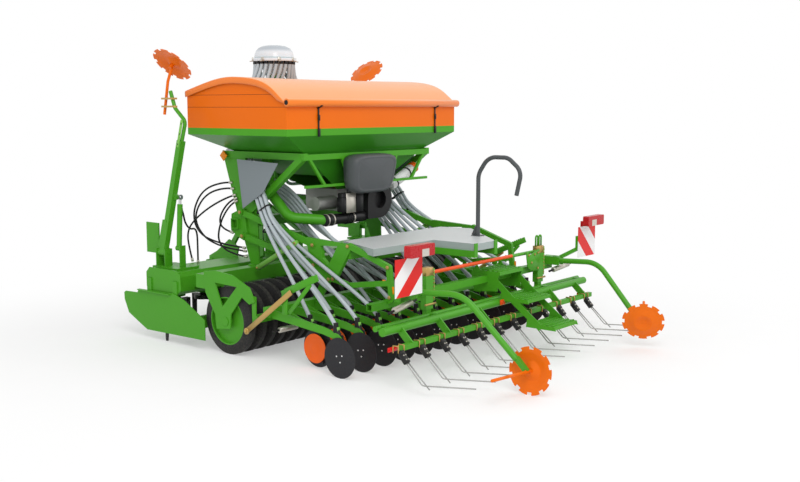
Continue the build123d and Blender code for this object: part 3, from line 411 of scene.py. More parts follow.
def lampColour(n, base):
    x, y, z = n.split(n.place())
    x = n.math("ABSOLUTE", x)
    wide, high = lampLook["clearX"], lampLook["clearZ"]
    clear = n.math("MULTIPLY", n.near(x, sum(wide) / 2, (wide[1] - wide[0]) / 2),
                   n.near(z, sum(high) / 2, (high[1] - high[0]) / 2))
    clear = n.math("MULTIPLY", clear, n.math("LESS_THAN", y, lampLook["face"]))
    return n.mix(clear, base, rgba("zinc"))


# Distributor head: green riser, grey cone and ring with a duller band, paler dome
headLook = {"green": 2.395, "band": 2.566, "bandHalf": 0.0035, "dome": 2.635, "fade": 0.02}


def headColour(n, base):
    z = n.split(n.place())[2]
    above = n.ramp(z, headLook["dome"] - headLook["fade"], headLook["dome"] + headLook["fade"])
    colour = n.mix(above, base, rgba("domeShade"))
    colour = n.mix(n.near(z, headLook["band"], headLook["bandHalf"]), colour, rgba("domeBand"))
    return n.mix(n.math("LESS_THAN", z, headLook["green"]), colour, rgba("green"))


# Loading board: bare sheet, its flanges duller, the top with a fine grid of raised dimples
boardTop = {"top": 0.949, "pitch": 0.030, "radius": 0.32, "strength": 0.22}


def sheetColour(n, base):
    x, y, z = n.split(n.place())
    colour = n.mix(n.math("LESS_THAN", z, boardTop["top"]), base, rgba("rim"))
    spots = []
    for value in (x, y):
        share = n.math("SUBTRACT", n.math("FRACT", n.math("DIVIDE", value, boardTop["pitch"])), 0.5)
        spots.append(n.math("MULTIPLY", share, share))
    spot = n.math("LESS_THAN", n.math("SQRT", n.math("ADD", spots[0], spots[1])), boardTop["radius"])
    return n.mix(n.math("MULTIPLY", spot, boardTop["strength"]), colour, rgba("rim"))


# Air line: green as far as the sleeve, black from there to the fan
ductLook = {"blackFrom": -0.560}


def ductColour(n, base):
    x = n.split(n.place())[0]
    return n.mix(n.math("GREATER_THAN", x, ductLook["blackFrom"]), base, rgba("black"))


# Harrow columns and the bar across: green posts, orange-red bar that ends green on the right
columnLook = {"bar": 0.785, "barRadius": 0.0162, "barY": -1.6325 + shift, "post": 0.783, "greenFrom": 0.385}


def columnColour(n, base):
    x, y, z = n.split(n.place())
    away = n.math("SQRT", n.math("ADD", n.math("POWER", n.math("SUBTRACT", y, columnLook["barY"]), 2.0),
                                 n.math("POWER", n.math("SUBTRACT", z, columnLook["bar"]), 2.0)))
    isBar = n.math("MULTIPLY", n.math("LESS_THAN", away, columnLook["barRadius"]),
                   n.math("LESS_THAN", n.math("ABSOLUTE", x), columnLook["post"]))
    isBar = n.math("MULTIPLY", isBar, n.math("LESS_THAN", x, columnLook["greenFrom"]))
    return n.mix(isBar, base, rgba("lever"))


# Every finish, with the colour's name and what differs from the usual finish
finishes = {
    "greenPaint": {"colour": "green", "vary": 0.10, "gloss": 0.36, "dust": 0.06, "specular": 0.2},
    "paleGreenPaint": {"colour": "paleGreen", "gloss": 0.40, "dust": 0.06},
    "hopperPaint": {"colour": "orange", "vary": 0.05, "gloss": 0.34, "dust": 0.02, "specular": 0.15,
                    "recolour": hopperColour},
    "markerArmPaint": {"colour": "green", "gloss": 0.36, "dust": 0.05, "recolour": armColour},
    "rowArmLeftPaint": {"colour": "green", "gloss": 0.36, "dust": 0.05, "recolour": axleColour("left")},
    "rowArmRightPaint": {"colour": "green", "gloss": 0.36, "dust": 0.05, "recolour": axleColour("right")},
    "ductPaint": {"colour": "green", "gloss": 0.36, "dust": 0.05, "recolour": ductColour},
    "columnPaint": {"colour": "green", "gloss": 0.36, "dust": 0.05, "recolour": columnColour},
    "orangePaint": {"colour": "orange", "gloss": 0.38, "dust": 0.03, "specular": 0.2},
    "leverPaint": {"colour": "lever", "gloss": 0.38, "dust": 0.04},
    "orangePlastic": {"colour": "plasticOrange", "grain": 500.0, "gloss": 0.45, "dust": 0.06},
    "blackRubber": {"colour": "rubber", "grain": 260.0, "depth": 0.4, "gloss": 0.62, "dust": 0.18, "specular": 0.3},
    "shieldGrey": {"colour": "shield", "vary": 0.05, "gloss": 0.45, "dust": 0.02},
    "hoodPlastic": {"colour": "hood", "grain": 700.0, "depth": 0.4, "gloss": 0.42, "dust": 0.05},
    "blackPlastic": {"colour": "black", "grain": 600.0, "depth": 0.3, "gloss": 0.42, "dust": 0.08},
    "headPlastic": {"colour": "domeGrey", "vary": 0.05, "gloss": 0.26, "dust": 0.02, "coat": 0.3,
                    "recolour": headColour},
    "hosePlastic": {"colour": "hose", "vary": 0.20, "grain": 260.0, "depth": 0.2, "gloss": 0.36, "dust": 0.04},
    "whitePlastic": {"colour": "white", "vary": 0.05, "gloss": 0.35, "dust": 0.03},
    "redPlastic": {"colour": "red", "vary": 0.2, "grain": 500.0, "depth": 0.4, "gloss": 0.2, "dust": 0.02},
    "amberPlastic": {"colour": "amber", "vary": 0.2, "grain": 500.0, "depth": 0.4, "gloss": 0.2, "dust": 0.02},
    "lampLens": {"colour": "lampRed", "vary": 0.3, "grain": 500.0, "depth": 0.5, "gloss": 0.28, "dust": 0.02,
                 "coat": 0.1, "recolour": lampColour},
    "signFace": {"colour": "red", "vary": 0.03, "grain": 900.0, "gloss": 0.35, "dust": 0.02,
                 "recolour": boardColour},
    "boardSheet": {"colour": "board", "grain": 240.0, "depth": 0.3, "gloss": 0.42, "dust": 0.04, "metallic": 0.15,
                   "recolour": sheetColour},
    "greyTube": {"colour": "tube", "gloss": 0.34, "dust": 0.02},
    "castMetal": {"colour": "cast", "grain": 220.0, "depth": 0.6, "gloss": 0.42, "dust": 0.1, "metallic": 0.8},
    "discSteel": {"colour": "blued", "grain": 200.0, "gloss": 0.42, "dust": 0.05, "metallic": 0.4},
    "tineSteel": {"colour": "blued", "grain": 160.0, "depth": 0.5, "gloss": 0.5, "dust": 0.3, "metallic": 0.5},
    "springSteel": {"colour": "steel", "gloss": 0.36, "dust": 0.1, "metallic": 0.6},
    "goldZinc": {"colour": "gold", "vary": 0.4, "gloss": 0.34, "dust": 0.08, "metallic": 0.7},
    "paleZinc": {"colour": "zinc", "vary": 0.2, "gloss": 0.34, "dust": 0.06, "metallic": 0.7},
    "chromeRod": {"colour": "chrome", "gloss": 0.16, "dust": 0.04, "metallic": 1.0},
}
made = {name: finished(name, **values) for name, values in finishes.items()}

# Which finish each CAD node wears
looks = {
    "greenPaint": ["roller_drum", "roller_frame", "scraper_bar", "rotor_trough", "cultivator_gearbox",
                   "levelling_bar", "side_plates", "headstock", "drill_frame", "coulter_frame", "coulter_arms",
                   "steps", "harrow_frame", "marker_brackets", "row_marker_brackets", "marker_barrel_left",
                   "marker_barrel_right"],
    "hopperPaint": ["hopper_shell"],
    "ductPaint": ["air_duct"],
    "markerArmPaint": ["marker_arm_left", "marker_arm_right"],
    "rowArmLeftPaint": ["row_marker_arm_left"],
    "rowArmRightPaint": ["row_marker_arm_right"],
    "orangePaint": ["marker_disc_left", "marker_disc_right", "row_marker_disc_left", "row_marker_disc_right"],
    "orangePlastic": ["front_depth_discs", "rear_depth_discs"],
    "blackRubber": ["roller_rings"],
    "shieldGrey": ["hose_shields"],
    "hoodPlastic": ["metering_cover"],
    "castMetal": ["metering_unit"],
    "blackPlastic": ["fan_housing", "seed_boots", "tine_holders"],
    "headPlastic": ["distributor_head"],
    "discSteel": ["front_steel_discs", "rear_steel_discs"],
    "tineSteel": [f"rotor_{k:02d}" for k in range(1, 11)],
    "springSteel": ["harrow_tines"],
    "columnPaint": ["depth_adjusters"],
    "boardSheet": ["loading_board"],
    "greyTube": ["handrail"],
    "signFace": ["warning_boards"],
    "lampLens": ["rear_lamps"],
    "chromeRod": ["marker_rod_left", "marker_rod_right"],
}
for look, names in looks.items():
    for name in names:
        nodes[name].data.materials.clear()
        nodes[name].data.materials.append(made[look])
print("materials")


# Coulters, counted from the left; every second one stands in the front row, turned about
coulters = {"pitch": 0.125, "count": 24, "frontRow": -0.890, "rearRow": -1.265, "axis": 0.160,
            "bootMouth": 0.062, "bootTop": 0.395, "bootSide": 0.012}
rows = {"front": (1, -1), "rear": (0, 1)}        # the first coulter of each row, and the side that its boots are on


def rowX(number):
    return (number - (coulters["count"] - 1) / 2) * coulters["pitch"]


def inwards(side, count):
    # The number of the coulter that is the count-th inwards from a side's outermost; side is -1 left, 1 right
    return count if side < 0 else coulters["count"] - 1 - count


def bootFoot(number):
    # X and Y of the mouth of a coulter's boot
    row = "front" if number % 2 == 1 else "rear"
    return rowX(number) + rows[row][1] * coulters["bootSide"], coulters[f"{row}Row"] + coulters["bootMouth"]


def addCord(name, route, step, radius, wave, finish):
    # A hose on its route's spline: the radius falls by the wave at every second ring, apart from both ends
    path, length = evenly(smoothLine(route), step)
    size = radius - wave * (np.arange(len(path)) % 2)
    size[:3] = size[-3:] = radius
    piece = addMesh(name, tube(path, size), finish)
    return path, length


# Seed hoses: twelve a side, from the head's outlets down in front of the hopper, outwards, then back to the boots.
# outer and inner give, place by place, the coulter that a hose serves, counted inwards from its side's outermost.
seedHoses = {
    "radius": 0.0175, "wave": 0.0013, "step": 0.0075, "each": 12,
    "head": (0.020, 0.940), "outletCircle": 0.188, "outletEnd": 2.530, "outletDrop": 0.090,
    "firstAngle": 7.5, "angleStep": 15,
    "comb": (0.900, 2.120), "combStart": 0.090, "combPitch": 0.037,
    "outer": {-1: (2, 4, 0, 5, 1, 3), 1: (1, 3, 2, 4, 0)},
    "inner": {-1: (6, 8, 10, 7, 9, 11), 1: (5, 7, 9, 11, 6, 8, 10)},
    "bootLead": (0.042, 0.079),
}
# Outer hoses: in two layers inside the leg, behind the shield, out below it, and some of them in past the link
outerHoses = {
    "high": 1.680, "fall": 0.020, "layer": 0.016, "combFoot": 1.980, "above": 0.220, "middle": 2.5, "pitch": 0.028,
    "insideLeg": (0.640, 0.720, 0.800), "setBack": 0.140, "legY": 0.560, "legDrop": 0.030, "lead": 0.060,
    "behindShield": 0.912, "shieldExit": (0.175, 1.305), "belowShield": 0.950, "shieldLow": (0.017, 1.033),
    "insideLink": 0.924, "pastLink": (0.930, -0.600, 0.570),
}
# Inner hoses: outwards under the hopper, then down in one flat sheet past the air line
innerHoses = {
    "high": 1.500, "pitch": 0.0375, "first": 6, "middle": 8.5, "combFoot": 1.940, "above": 0.200,
    "x": 0.560, "setBack": 0.220, "drop": 0.020, "upper": (0.244, 1.318), "lower": (-0.144, 0.960),
}


def outwards(values, combX, combY, z, x):
    # Down the comb, then out to x at height z
    return [(combX, combY, seedHoses["comb"][1]), (combX, combY, values["combFoot"]),
            (combX, combY, z + values["above"]), (combX, combY, z), ((combX + x) / 2, combY, z), (x, combY, z)]


def outerRoute(side, place, combX, bootX):
    h = outerHoses
    layer = h["layer"] * (-1 if place % 2 else 1)
    combY = seedHoses["comb"][0] + layer
    z = h["high"] - h["fall"] * place
    offset = (place - h["middle"]) * h["pitch"]
    exitY, exitZ = h["shieldExit"][0] + offset, h["shieldExit"][1]
    lowY, lowZ = h["shieldLow"][0] + offset, h["shieldLow"][1]
    turnY = exitY + (z - exitZ) * (exitY - lowY) / (exitZ - lowZ)
    first, second, third = (side * (x + layer) for x in h["insideLeg"])
    route = outwards(h, combX, combY, z, first)
    route += [(first, combY - h["setBack"], z), (second, h["legY"], z - h["legDrop"]),
              (third, turnY + h["lead"], z - h["lead"]),
              (side * (h["behindShield"] + layer), exitY, exitZ), (side * (h["belowShield"] + layer), lowY, lowZ)]
    if abs(bootX) < h["insideLink"]:
        x, y, z = h["pastLink"]
        route.append((side * x, y, z))
    return route


def innerRoute(side, place, combX):
    h = innerHoses
    combY = seedHoses["comb"][0]
    z = h["high"] - h["pitch"] * (place - h["first"])
    offset = (h["middle"] - place) * h["pitch"]
    upper, lower = np.array(h["upper"]), np.array(h["lower"])
    run = (lower - upper) / np.linalg.norm(lower - upper)
    across = np.array([run[1], -run[0]]) * offset
    x = side * h["x"]
    return outwards(h, combX, combY, z, x) + [(x, combY - h["setBack"], z - h["drop"]), (x, *(upper + across)),
                                              (x, *(lower + across))]


def hoseRoute(side, place):
    # Control points of one hose, from its outlet to its boot
    h = seedHoses
    bootX, bootY = bootFoot(inwards(side, (h["outer"][side] + h["inner"][side])[place]))
    angle = math.radians(h["firstAngle"] + h["angleStep"] * (place // 2)) * (-1 if place % 2 else 1)
    outX = h["head"][0] + side * h["outletCircle"] * math.cos(angle)
    outY = h["head"][1] + h["outletCircle"] * math.sin(angle)
    combX = h["head"][0] + side * (h["combStart"] + h["combPitch"] * (h["each"] - 1 - place))
    isOuter = place < len(h["outer"][side])
    route = [(outX, outY, h["outletEnd"]), (outX, outY, h["outletEnd"] - h["outletDrop"])]
    route += outerRoute(side, place, combX, bootX) if isOuter else innerRoute(side, place, combX)
    leadY, leadZ = h["bootLead"]
    route += [(bootX, bootY + leadY, coulters["bootTop"] + leadZ), (bootX, bootY, coulters["bootTop"])]
    return np.array([at(*p) for p in route])


hosePlaces = [(side, place) for side in (-1, 1) for place in range(seedHoses["each"])]
hoseLengths = []
for side, place in hosePlaces:
    hoseName = f"seedHose{'Left' if side < 0 else 'Right'}{place + 1:02d}"
    hoseLengths.append(addCord(hoseName, hoseRoute(side, place), seedHoses["step"], seedHoses["radius"],
                               seedHoses["wave"], "hosePlastic")[1])
print("seed hoses", len(hoseLengths), "from", round(min(hoseLengths), 2), "to", round(max(hoseLengths), 2), "m")


# Oil hoses: black, from couplings at the drill's leg down to the marker and the frame, a pale fitting at each end
oilHoses = {
    "radius": 0.0085, "step": 0.012, "fitting": 0.0125, "fittingSides": 10, "fittingFrom": 0.4, "fittingTo": 2.6,
    "routes": {
        "oilHoseLong": [(-0.862, 0.600, 1.400), (-0.900, 0.680, 1.405), (-0.950, 0.900, 1.330),
                        (-0.960, 1.030, 1.150), (-0.960, 1.030, 1.000), (-0.950, 0.940, 0.900),
                        (-0.920, 0.830, 0.855), (-0.880, 0.700, 0.825), (-0.862, 0.560, 0.815),
                        (-0.862, 0.440, 0.810)],
        "oilHoseShort": [(-0.862, 0.578, 1.345), (-0.900, 0.660, 1.355), (-0.950, 0.860, 1.290),
                         (-0.960, 1.000, 1.130), (-0.960, 1.005, 1.000), (-0.945, 0.910, 0.885),
                         (-0.915, 0.810, 0.830), (-0.880, 0.690, 0.795), (-0.862, 0.560, 0.785),
                         (-0.862, 0.430, 0.780)],
        "oilHoseCross": [(-0.862, 0.556, 1.290), (-0.900, 0.620, 1.270), (-0.960, 0.830, 1.160),
                         (-1.000, 1.010, 1.020), (-1.010, 1.070, 0.920), (-1.010, 1.060, 0.800),
                         (-1.000, 1.020, 0.650)],
        "oilHoseMarker": [(-1.306, 0.792, 1.200), (-1.280, 0.792, 1.150), (-1.262, 0.792, 1.050),
                          (-1.200, 0.800, 0.985), (-1.110, 0.840, 0.985), (-1.060, 0.870, 0.930),
                          (-1.050, 0.880, 0.800), (-1.050, 0.880, 0.650)],
        "oilHoseInner": [(-0.862, 0.540, 1.262), (-0.900, 0.590, 1.240), (-0.925, 0.690, 1.120),
                         (-0.925, 0.715, 1.020), (-0.900, 0.660, 0.960), (-0.870, 0.590, 0.940)],
        "oilHoseStraight": [(-0.862, 0.534, 1.236), (-0.900, 0.570, 1.215), (-0.930, 0.660, 1.090),
                            (-0.930, 0.720, 0.960), (-0.920, 0.740, 0.860), (-0.900, 0.680, 0.780),
                            (-0.870, 0.560, 0.740), (-0.862, 0.420, 0.730)],
    },
}
fittings = []
for name, points in oilHoses["routes"].items():
    line, length = addCord(name, [at(*p) for p in points], oilHoses["step"], oilHoses["radius"], 0.0,
                           "blackPlastic")
    for end in (line, line[::-1]):
        along = end[1] - end[0]
        fittings.append(rod(end[0] - along * oilHoses["fittingFrom"], end[0] + along * oilHoses["fittingTo"],
                            oilHoses["fitting"], oilHoses["fittingSides"]))
    print(name, round(length, 2), "m")
addMesh("oilFittings", fittings, "paleZinc")


# Hopper cover: one stretched cloth over the gables, turned down at both ends and rolled round a tube behind
coverCloth = {
    "line": [(-0.427, 2.112), (-0.361, 2.166), (-0.250, 2.250), (-0.120, 2.300), (0.060, 2.326), (0.299, 2.335),
             (0.560, 2.290), (0.834, 2.216)],
    "half": 1.183, "over": 0.012, "cloth": 0.0025, "step": 0.020, "across": 121, "sag": 0.006,
    "wrinkle": 0.0016, "waves": 26, "turn": 5, "nearEnds": 9, "share": 0.4,
    "lips": [(0.0020, 0.0010), (0.0060, 0.0070), (0.0070, 0.0300), (0.0040, 0.0500), (0.0000, 0.0560)],
    "lipFrom": 0.25, "lipGrowth": 9,
    "weave": 900.0, "weaveDepth": 0.0006, "weaveStrength": 0.15, "sheen": 0.25, "facing": (0.35, 0.92),
    "finish": {"vary": 0.06, "gloss": 0.46, "dust": 0.02},
    "tube": (-0.4450, 2.122), "tubeRadius": 0.034, "tubeEdge": 0.002, "sides": 20,
    "cap": [(0.0200, 0.0), (0.0200, 0.006), (0.014, 0.008), (0.0135, 0.004), (0.004, 0.004)], "flat": (2.49, 1.44),
}


def coverSurface():
    # Height: line + over - sag cos(pi u/2) sin(pi v) - low wrinkles that run in from the ends, with u across from
    # -1 to 1 and v along from 0 to 1; the last columns turn out and down as the lips
    c = coverCloth
    line, _ = evenly(smoothLine([(0, y, z + c["over"]) for y, z in c["line"]]), c["step"])
    v = np.linspace(0, 1, len(line))
    u = np.linspace(-1, 1, c["across"])
    wave = np.sin(c["waves"] * u[None] + c["turn"] * v[:, None])
    wrinkle = c["wrinkle"] * wave * np.exp(-c["nearEnds"] * (1 - np.abs(u[None]))) * (1 - v[:, None])
    sag = c["sag"] * np.cos(math.pi * u[None] / 2) * np.sin(math.pi * v[:, None])
    top = np.stack([np.broadcast_to(u * c["half"], sag.shape), np.broadcast_to(line[:, 1:2], sag.shape),
                    line[:, 2:3] - (sag + c["share"] * wrinkle)], -1)
    fall = np.clip(c["lipFrom"] + v * c["lipGrowth"], c["lipFrom"], 1)
    lips = []
    for edge in (top[:, 0], top[:, -1]):
        columns = [np.stack([edge[:, 0] + np.sign(edge[0, 0]) * out, edge[:, 1], edge[:, 2] - down * fall], -1)
                   for out, down in c["lips"]]
        lips.append(np.stack(columns, 1))
    points = np.concatenate([lips[0][:, ::-1], top, lips[1]], 1)
    points[..., 1] += shift
    return points.reshape(-1, 3), gridFaces(points.shape[0], points.shape[1])


def clothMaterial():
    # Coated cloth: two crossed fine waves as a weave under the finish, paler where it faces up, a painted reflection
    # over the cloth's own orange
    def facing(n, base):
        up = n.split(n.add("ShaderNodeNewGeometry").outputs["Normal"])[2]
        # Painted reflection: the pale cover colour on faces that point up, the orange coverSide, the cloth's own
        # colour, on the rest
        return n.mix(n.ramp(up, *coverCloth["facing"]), rgba("coverSide"), base)

    material = finished("coverCloth", "cover", recolour=facing, **coverCloth["finish"])
    n = Nodes(material.node_tree)
    x, y, _ = n.split(n.place())
    weave = n.math("MULTIPLY", n.math("SINE", n.math("MULTIPLY", x, coverCloth["weave"])),
                   n.math("SINE", n.math("MULTIPLY", y, coverCloth["weave"])))
    bump = n.add("ShaderNodeBump", {"Strength": coverCloth["weaveStrength"], "Distance": coverCloth["weaveDepth"],
                                    "Height": weave})
    shader = [node for node in material.node_tree.nodes if node.type == "BSDF_PRINCIPLED"][0]
    n.tree.links.new(bump.outputs["Normal"], shader.inputs["Normal"])
    shader.inputs["Sheen Weight"].default_value = coverCloth["sheen"]
    return material


made["coverCloth"] = clothMaterial()
cover = addMesh("coverSheet", coverSurface(), "coverCloth")
thicken = cover.modifiers.new("cloth", "SOLIDIFY")
thicken.thickness = coverCloth["cloth"]
thicken.offset = -1
tubeRadius, tubeEdge = coverCloth["tubeRadius"], coverCloth["tubeEdge"]
addMesh("coverRoll", collar(tubeRadius - tubeEdge, tubeRadius, 2 * coverCloth["half"], tubeEdge,
                            at(-coverCloth["half"], *coverCloth["tube"]), alongX, coverCloth["sides"]), "coverCloth")
caps = [turned(coverCloth["cap"], at(side * (coverCloth["half"] - tubeEdge), *coverCloth["tube"]), (side, 0, 0),
               coverCloth["sides"]) for side in (-1, 1)]
addMesh("rollCaps", caps, "blackPlastic")
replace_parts(cover, "hopper_cover")
print("cover")


# Straps that hold the cover down behind: web, hook and buckle, and a rubber pull above
coverStraps = {
    "x": (-0.790, 0.840), "y": -0.4335,
    "parts": [((0.0, 1.884), (0.0, 2.095), 0.018, 0.005), ((-0.004, 1.834), (-0.004, 1.904), 0.026, 0.012),
              ((-0.045, 2.098), (0.006, 2.072), 0.022, 0.006), ((-0.004, 1.970), (-0.004, 2.020), 0.024, 0.010)],
}
straps = []
for x in coverStraps["x"]:
    for (fromY, fromZ), (toY, toZ), wide, thick in coverStraps["parts"]:
        straps.append(beam(at(x, coverStraps["y"] + fromY, fromZ), at(x, coverStraps["y"] + toY, toZ), wide, thick,
                           side=alongX))
addMesh("coverStraps", straps, "blackPlastic")


# Distributor head: riser, cone, ring and dome in one, a stay on the riser, clips round the ring
headParts = {
    "centre": (0.020, 0.940), "sides": 56,
    "head": [(0.030, 2.392), (0.061, 2.400), (0.165, 2.508), (0.170, 2.530), (0.212, 2.532), (0.214, 2.535),
             (0.214, 2.560), (0.210, 2.563), (0.196, 2.563), (0.194, 2.575), (0.191, 2.600), (0.180, 2.632),
             (0.155, 2.660), (0.115, 2.680), (0.060, 2.688), (0.004, 2.690)],
    "riser": [(0.030, 0.330, 1.180), (0.030, 0.640, 1.180), (0.030, 0.890, 1.180), (0.030, 0.940, 1.230),
              (0.030, 0.940, 1.480), (0.030, 0.940, 2.000), (0.030, 0.940, 2.402)],
    "riserRadius": 0.057, "riserSides": 24, "riserStep": 0.030, "stay": ((0.030, 0.830, 2.010), (0.030, 0.940, 2.010)),
    "stayWide": 0.060, "stayHigh": 0.040,
    "clips": 8, "firstClip": 0.25, "clipRing": 0.214, "clipFoot": 2.528,
    "clipBars": [((0.0, 0.0), (0.0, 0.040), 0.030, 0.012), ((0.004, 0.006), (0.030, 0.002), 0.016, 0.010)],
    "outlet": (0.0185, 0.0205, 0.028, 0.002), "outletSides": 12,
}
riserLine, _ = evenly(smoothLine([at(*p) for p in headParts["riser"]]), headParts["riserStep"])
headPieces = [turned(headParts["head"], at(*headParts["centre"], 0.0), alongZ, headParts["sides"]),
              tube(riserLine, headParts["riserRadius"], headParts["riserSides"]),
              beam(*(at(*p) for p in headParts["stay"]), headParts["stayWide"], headParts["stayHigh"], side=alongX)]
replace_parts(addMesh("distributorHead", headPieces, "headPlastic"), "distributor_head")
clips = []
for turn in np.arange(headParts["clips"]) * 2 * math.pi / headParts["clips"] + headParts["firstClip"]:
    out = np.array([math.cos(turn), math.sin(turn), 0.0])
    foot = at(*headParts["centre"], headParts["clipFoot"]) + out * headParts["clipRing"]
    for start, end, wide, thick in headParts["clipBars"]:
        clips.append(beam(foot + out * start[0] + (0, 0, start[1]), foot + out * end[0] + (0, 0, end[1]), wide, thick,
                          side=np.cross(out, alongZ)))
addMesh("headClips", clips, "paleZinc")
outletLong = headParts["outlet"][2]
outlets = [collar(*headParts["outlet"], hoseRoute(side, place)[0] - (0, 0, outletLong), alongZ,
                  headParts["outletSides"]) for side, place in hosePlaces]
addMesh("outletCollars", outlets, "blackPlastic")
print("distributor head")


# Ties round the hose bundles: a flat band round a rounded block of hoses, square to their run
ties = {"at": ((0.950, 0.017, 1.033), (0.925, 0.110, 1.190)), "run": (0.038, -0.158, -0.272),
        "half": (0.034, 0.082), "power": 0.5, "points": 40, "wide": 0.014, "thick": 0.003}


def bundleTie(place, run):
    # A closed band round the rounded block, four points across its section
    axis, u, v = sideOf(run, alongX)
    across, up = (s[:, None] for s in roundedSquare(ties["points"], ties["power"]))
    wide, high = ties["half"]
    section = zip((0.0, ties["thick"], ties["thick"], 0.0), (-0.5, -0.5, 0.5, 0.5))
    rings = [place + across * (wide + out) * u + up * (high + out) * v + along * ties["wide"] * axis
             for out, along in section]
    return np.stack(rings, 1).reshape(-1, 3), gridFaces(ties["points"], 4, closeRows=True, closeCols=True)


bands = [bundleTie(at(side * x, y, z), np.array(ties["run"]) * (side, 1, 1))
         for x, y, z in ties["at"] for side in (-1, 1)]
addMesh("hoseTies", bands, "blackPlastic")


# Boots: black collar and green clip where each hose ends
bootParts = {
    "collar": [(0.0215, -0.045), (0.0225, -0.042), (0.0225, -0.008), (0.0195, 0.012), (0.0195, 0.030),
               (0.0185, 0.032)],
    "sides": 14, "clip": ((0.0, -0.030, -0.055), (0.0, -0.024, 0.000)), "clipWide": 0.026, "clipThick": 0.010,
}
bootCollars, bootClips = [], []
for number in (inwards(side, count) for side in (-1, 1) for count in range(coulters["count"] // 2)):
    foot = at(*bootFoot(number), coulters["bootTop"])
    bootCollars.append(turned(bootParts["collar"], foot, alongZ, bootParts["sides"]))
    bootClips.append(beam(*(foot + end for end in bootParts["clip"]), bootParts["clipWide"], bootParts["clipThick"],
                          side=alongX))
addMesh("bootCollars", bootCollars, "blackPlastic")
addMesh("bootClips", bootClips, "paleGreenPaint")


# Disc bolts: three pale heads round the hub of each steel disc, on its outer face
discBolts = {"circle": 0.033, "face": 0.016, "count": 3, "start": 0.35, "size": (0.0062, 0.003, 0.004, 0.004)}
for row, (firstNumber, facing) in rows.items():
    heads = []
    for number in range(firstNumber, coulters["count"], 2):
        for k in range(discBolts["count"]):
            turn = discBolts["start"] + 2 * math.pi * k / discBolts["count"]
            heads.append(bolt(discBolts["size"], at(rowX(number) - facing * discBolts["face"],
                                                    coulters[f"{row}Row"] + discBolts["circle"] * math.cos(turn),
                                                    coulters["axis"] + discBolts["circle"] * math.sin(turn)),
                              (-facing, 0, 0)))
    addMesh(f"{row}DiscBolts", heads, "whitePlastic", body=f"{row}_disc_row")


# Slotted depth strap and, inside it, a toothed rail on its posts, beside the roller on each side
depthStrap = {
    "x": 1.508, "foot": (-0.272, 0.245), "head": (-0.800, 0.632), "wide": 0.044, "thick": 0.010,
    "eye": (0.026, 0.028, 0.014, 0.002), "eyeIn": 0.007, "sides": 20, "pin": (0.016, 0.020, 0.012),
    "railIn": 0.016, "rails": [((-0.684, 0.600), (-1.075, 0.775), 0.016, 0.054),
                               ((-0.712, 0.440), (-0.712, 0.600), 0.014, 0.060),
                               ((-0.760, 0.455), (-1.000, 0.715), 0.012, 0.034)],
    "teeth": 14, "toothedFrom": 0.12, "toothedShare": 0.76, "toothFoot": 0.020, "tooth": (0.013, 0.012, 0.010),
}
d = depthStrap
strapParts, railParts = [], []
for side in (-1, 1):
    x, railX = side * d["x"], side * (d["x"] - d["railIn"])
    foot, head = at(x, *d["foot"]), at(x, *d["head"])
    pinIn, pinOut, pinRadius = d["pin"]
    strapParts += [beam(foot, head, d["thick"], d["wide"], side=alongX),
                   collar(*d["eye"], foot - (side * d["eyeIn"], 0, 0), (side, 0, 0), d["sides"]),
                   rod(foot - (side * pinIn, 0, 0), foot + (side * pinOut, 0, 0), pinRadius)]
    for start, end, wide, high in d["rails"]:
        railParts.append(beam(at(railX, *start), at(railX, *end), wide, high, side=alongX))
    start, end = (at(railX, *p) for p in d["rails"][0][:2])
    up = np.cross(alongX, (end - start) / np.linalg.norm(end - start))
    up *= np.sign(up[2])
    toothHigh, toothWide, toothLong = d["tooth"]
    for share in d["toothedFrom"] + d["toothedShare"] * np.arange(d["teeth"]) / (d["teeth"] - 1):
        root = start + (end - start) * share + up * d["toothFoot"]
        railParts.append(beam(root, root + up * toothHigh, toothWide, toothLong, side=alongX))
addMesh("depthStraps", strapParts, "goldZinc")
addMesh("depthRails", railParts, "greenPaint")


# Spring cylinders of the harrow and of the coulter frame: a pale sleeve with a dark rod in it
springs = {
    "radius": 0.024, "mouth": 0.016, "edge": 0.004, "sides": 18, "rodRadius": 0.010, "rodPast": 0.070,
    "runs": [((-1.300, -1.680, 0.560), (-1.060, -1.660, 0.590)), ((1.020, -1.680, 0.590), (1.290, -1.680, 0.612)),
             ((-1.330, -0.470, 0.250), (-1.120, -0.470, 0.250)), ((1.120, -0.470, 0.250), (1.330, -0.470, 0.250))],
}
sleeves, springRods = [], []
for start, end in springs["runs"]:
    start, end = at(*start), at(*end)
    long = np.linalg.norm(end - start)
    past = (end - start) / long * springs["rodPast"]
    sleeves.append(collar(springs["mouth"], springs["radius"], long, springs["edge"], start, end - start,
                          springs["sides"]))
    springRods.append(rod(start - past, end + past, springs["rodRadius"]))
addMesh("springSleeves", sleeves, "paleZinc")
addMesh("springRods", springRods, "blackPlastic")
print("coulters")


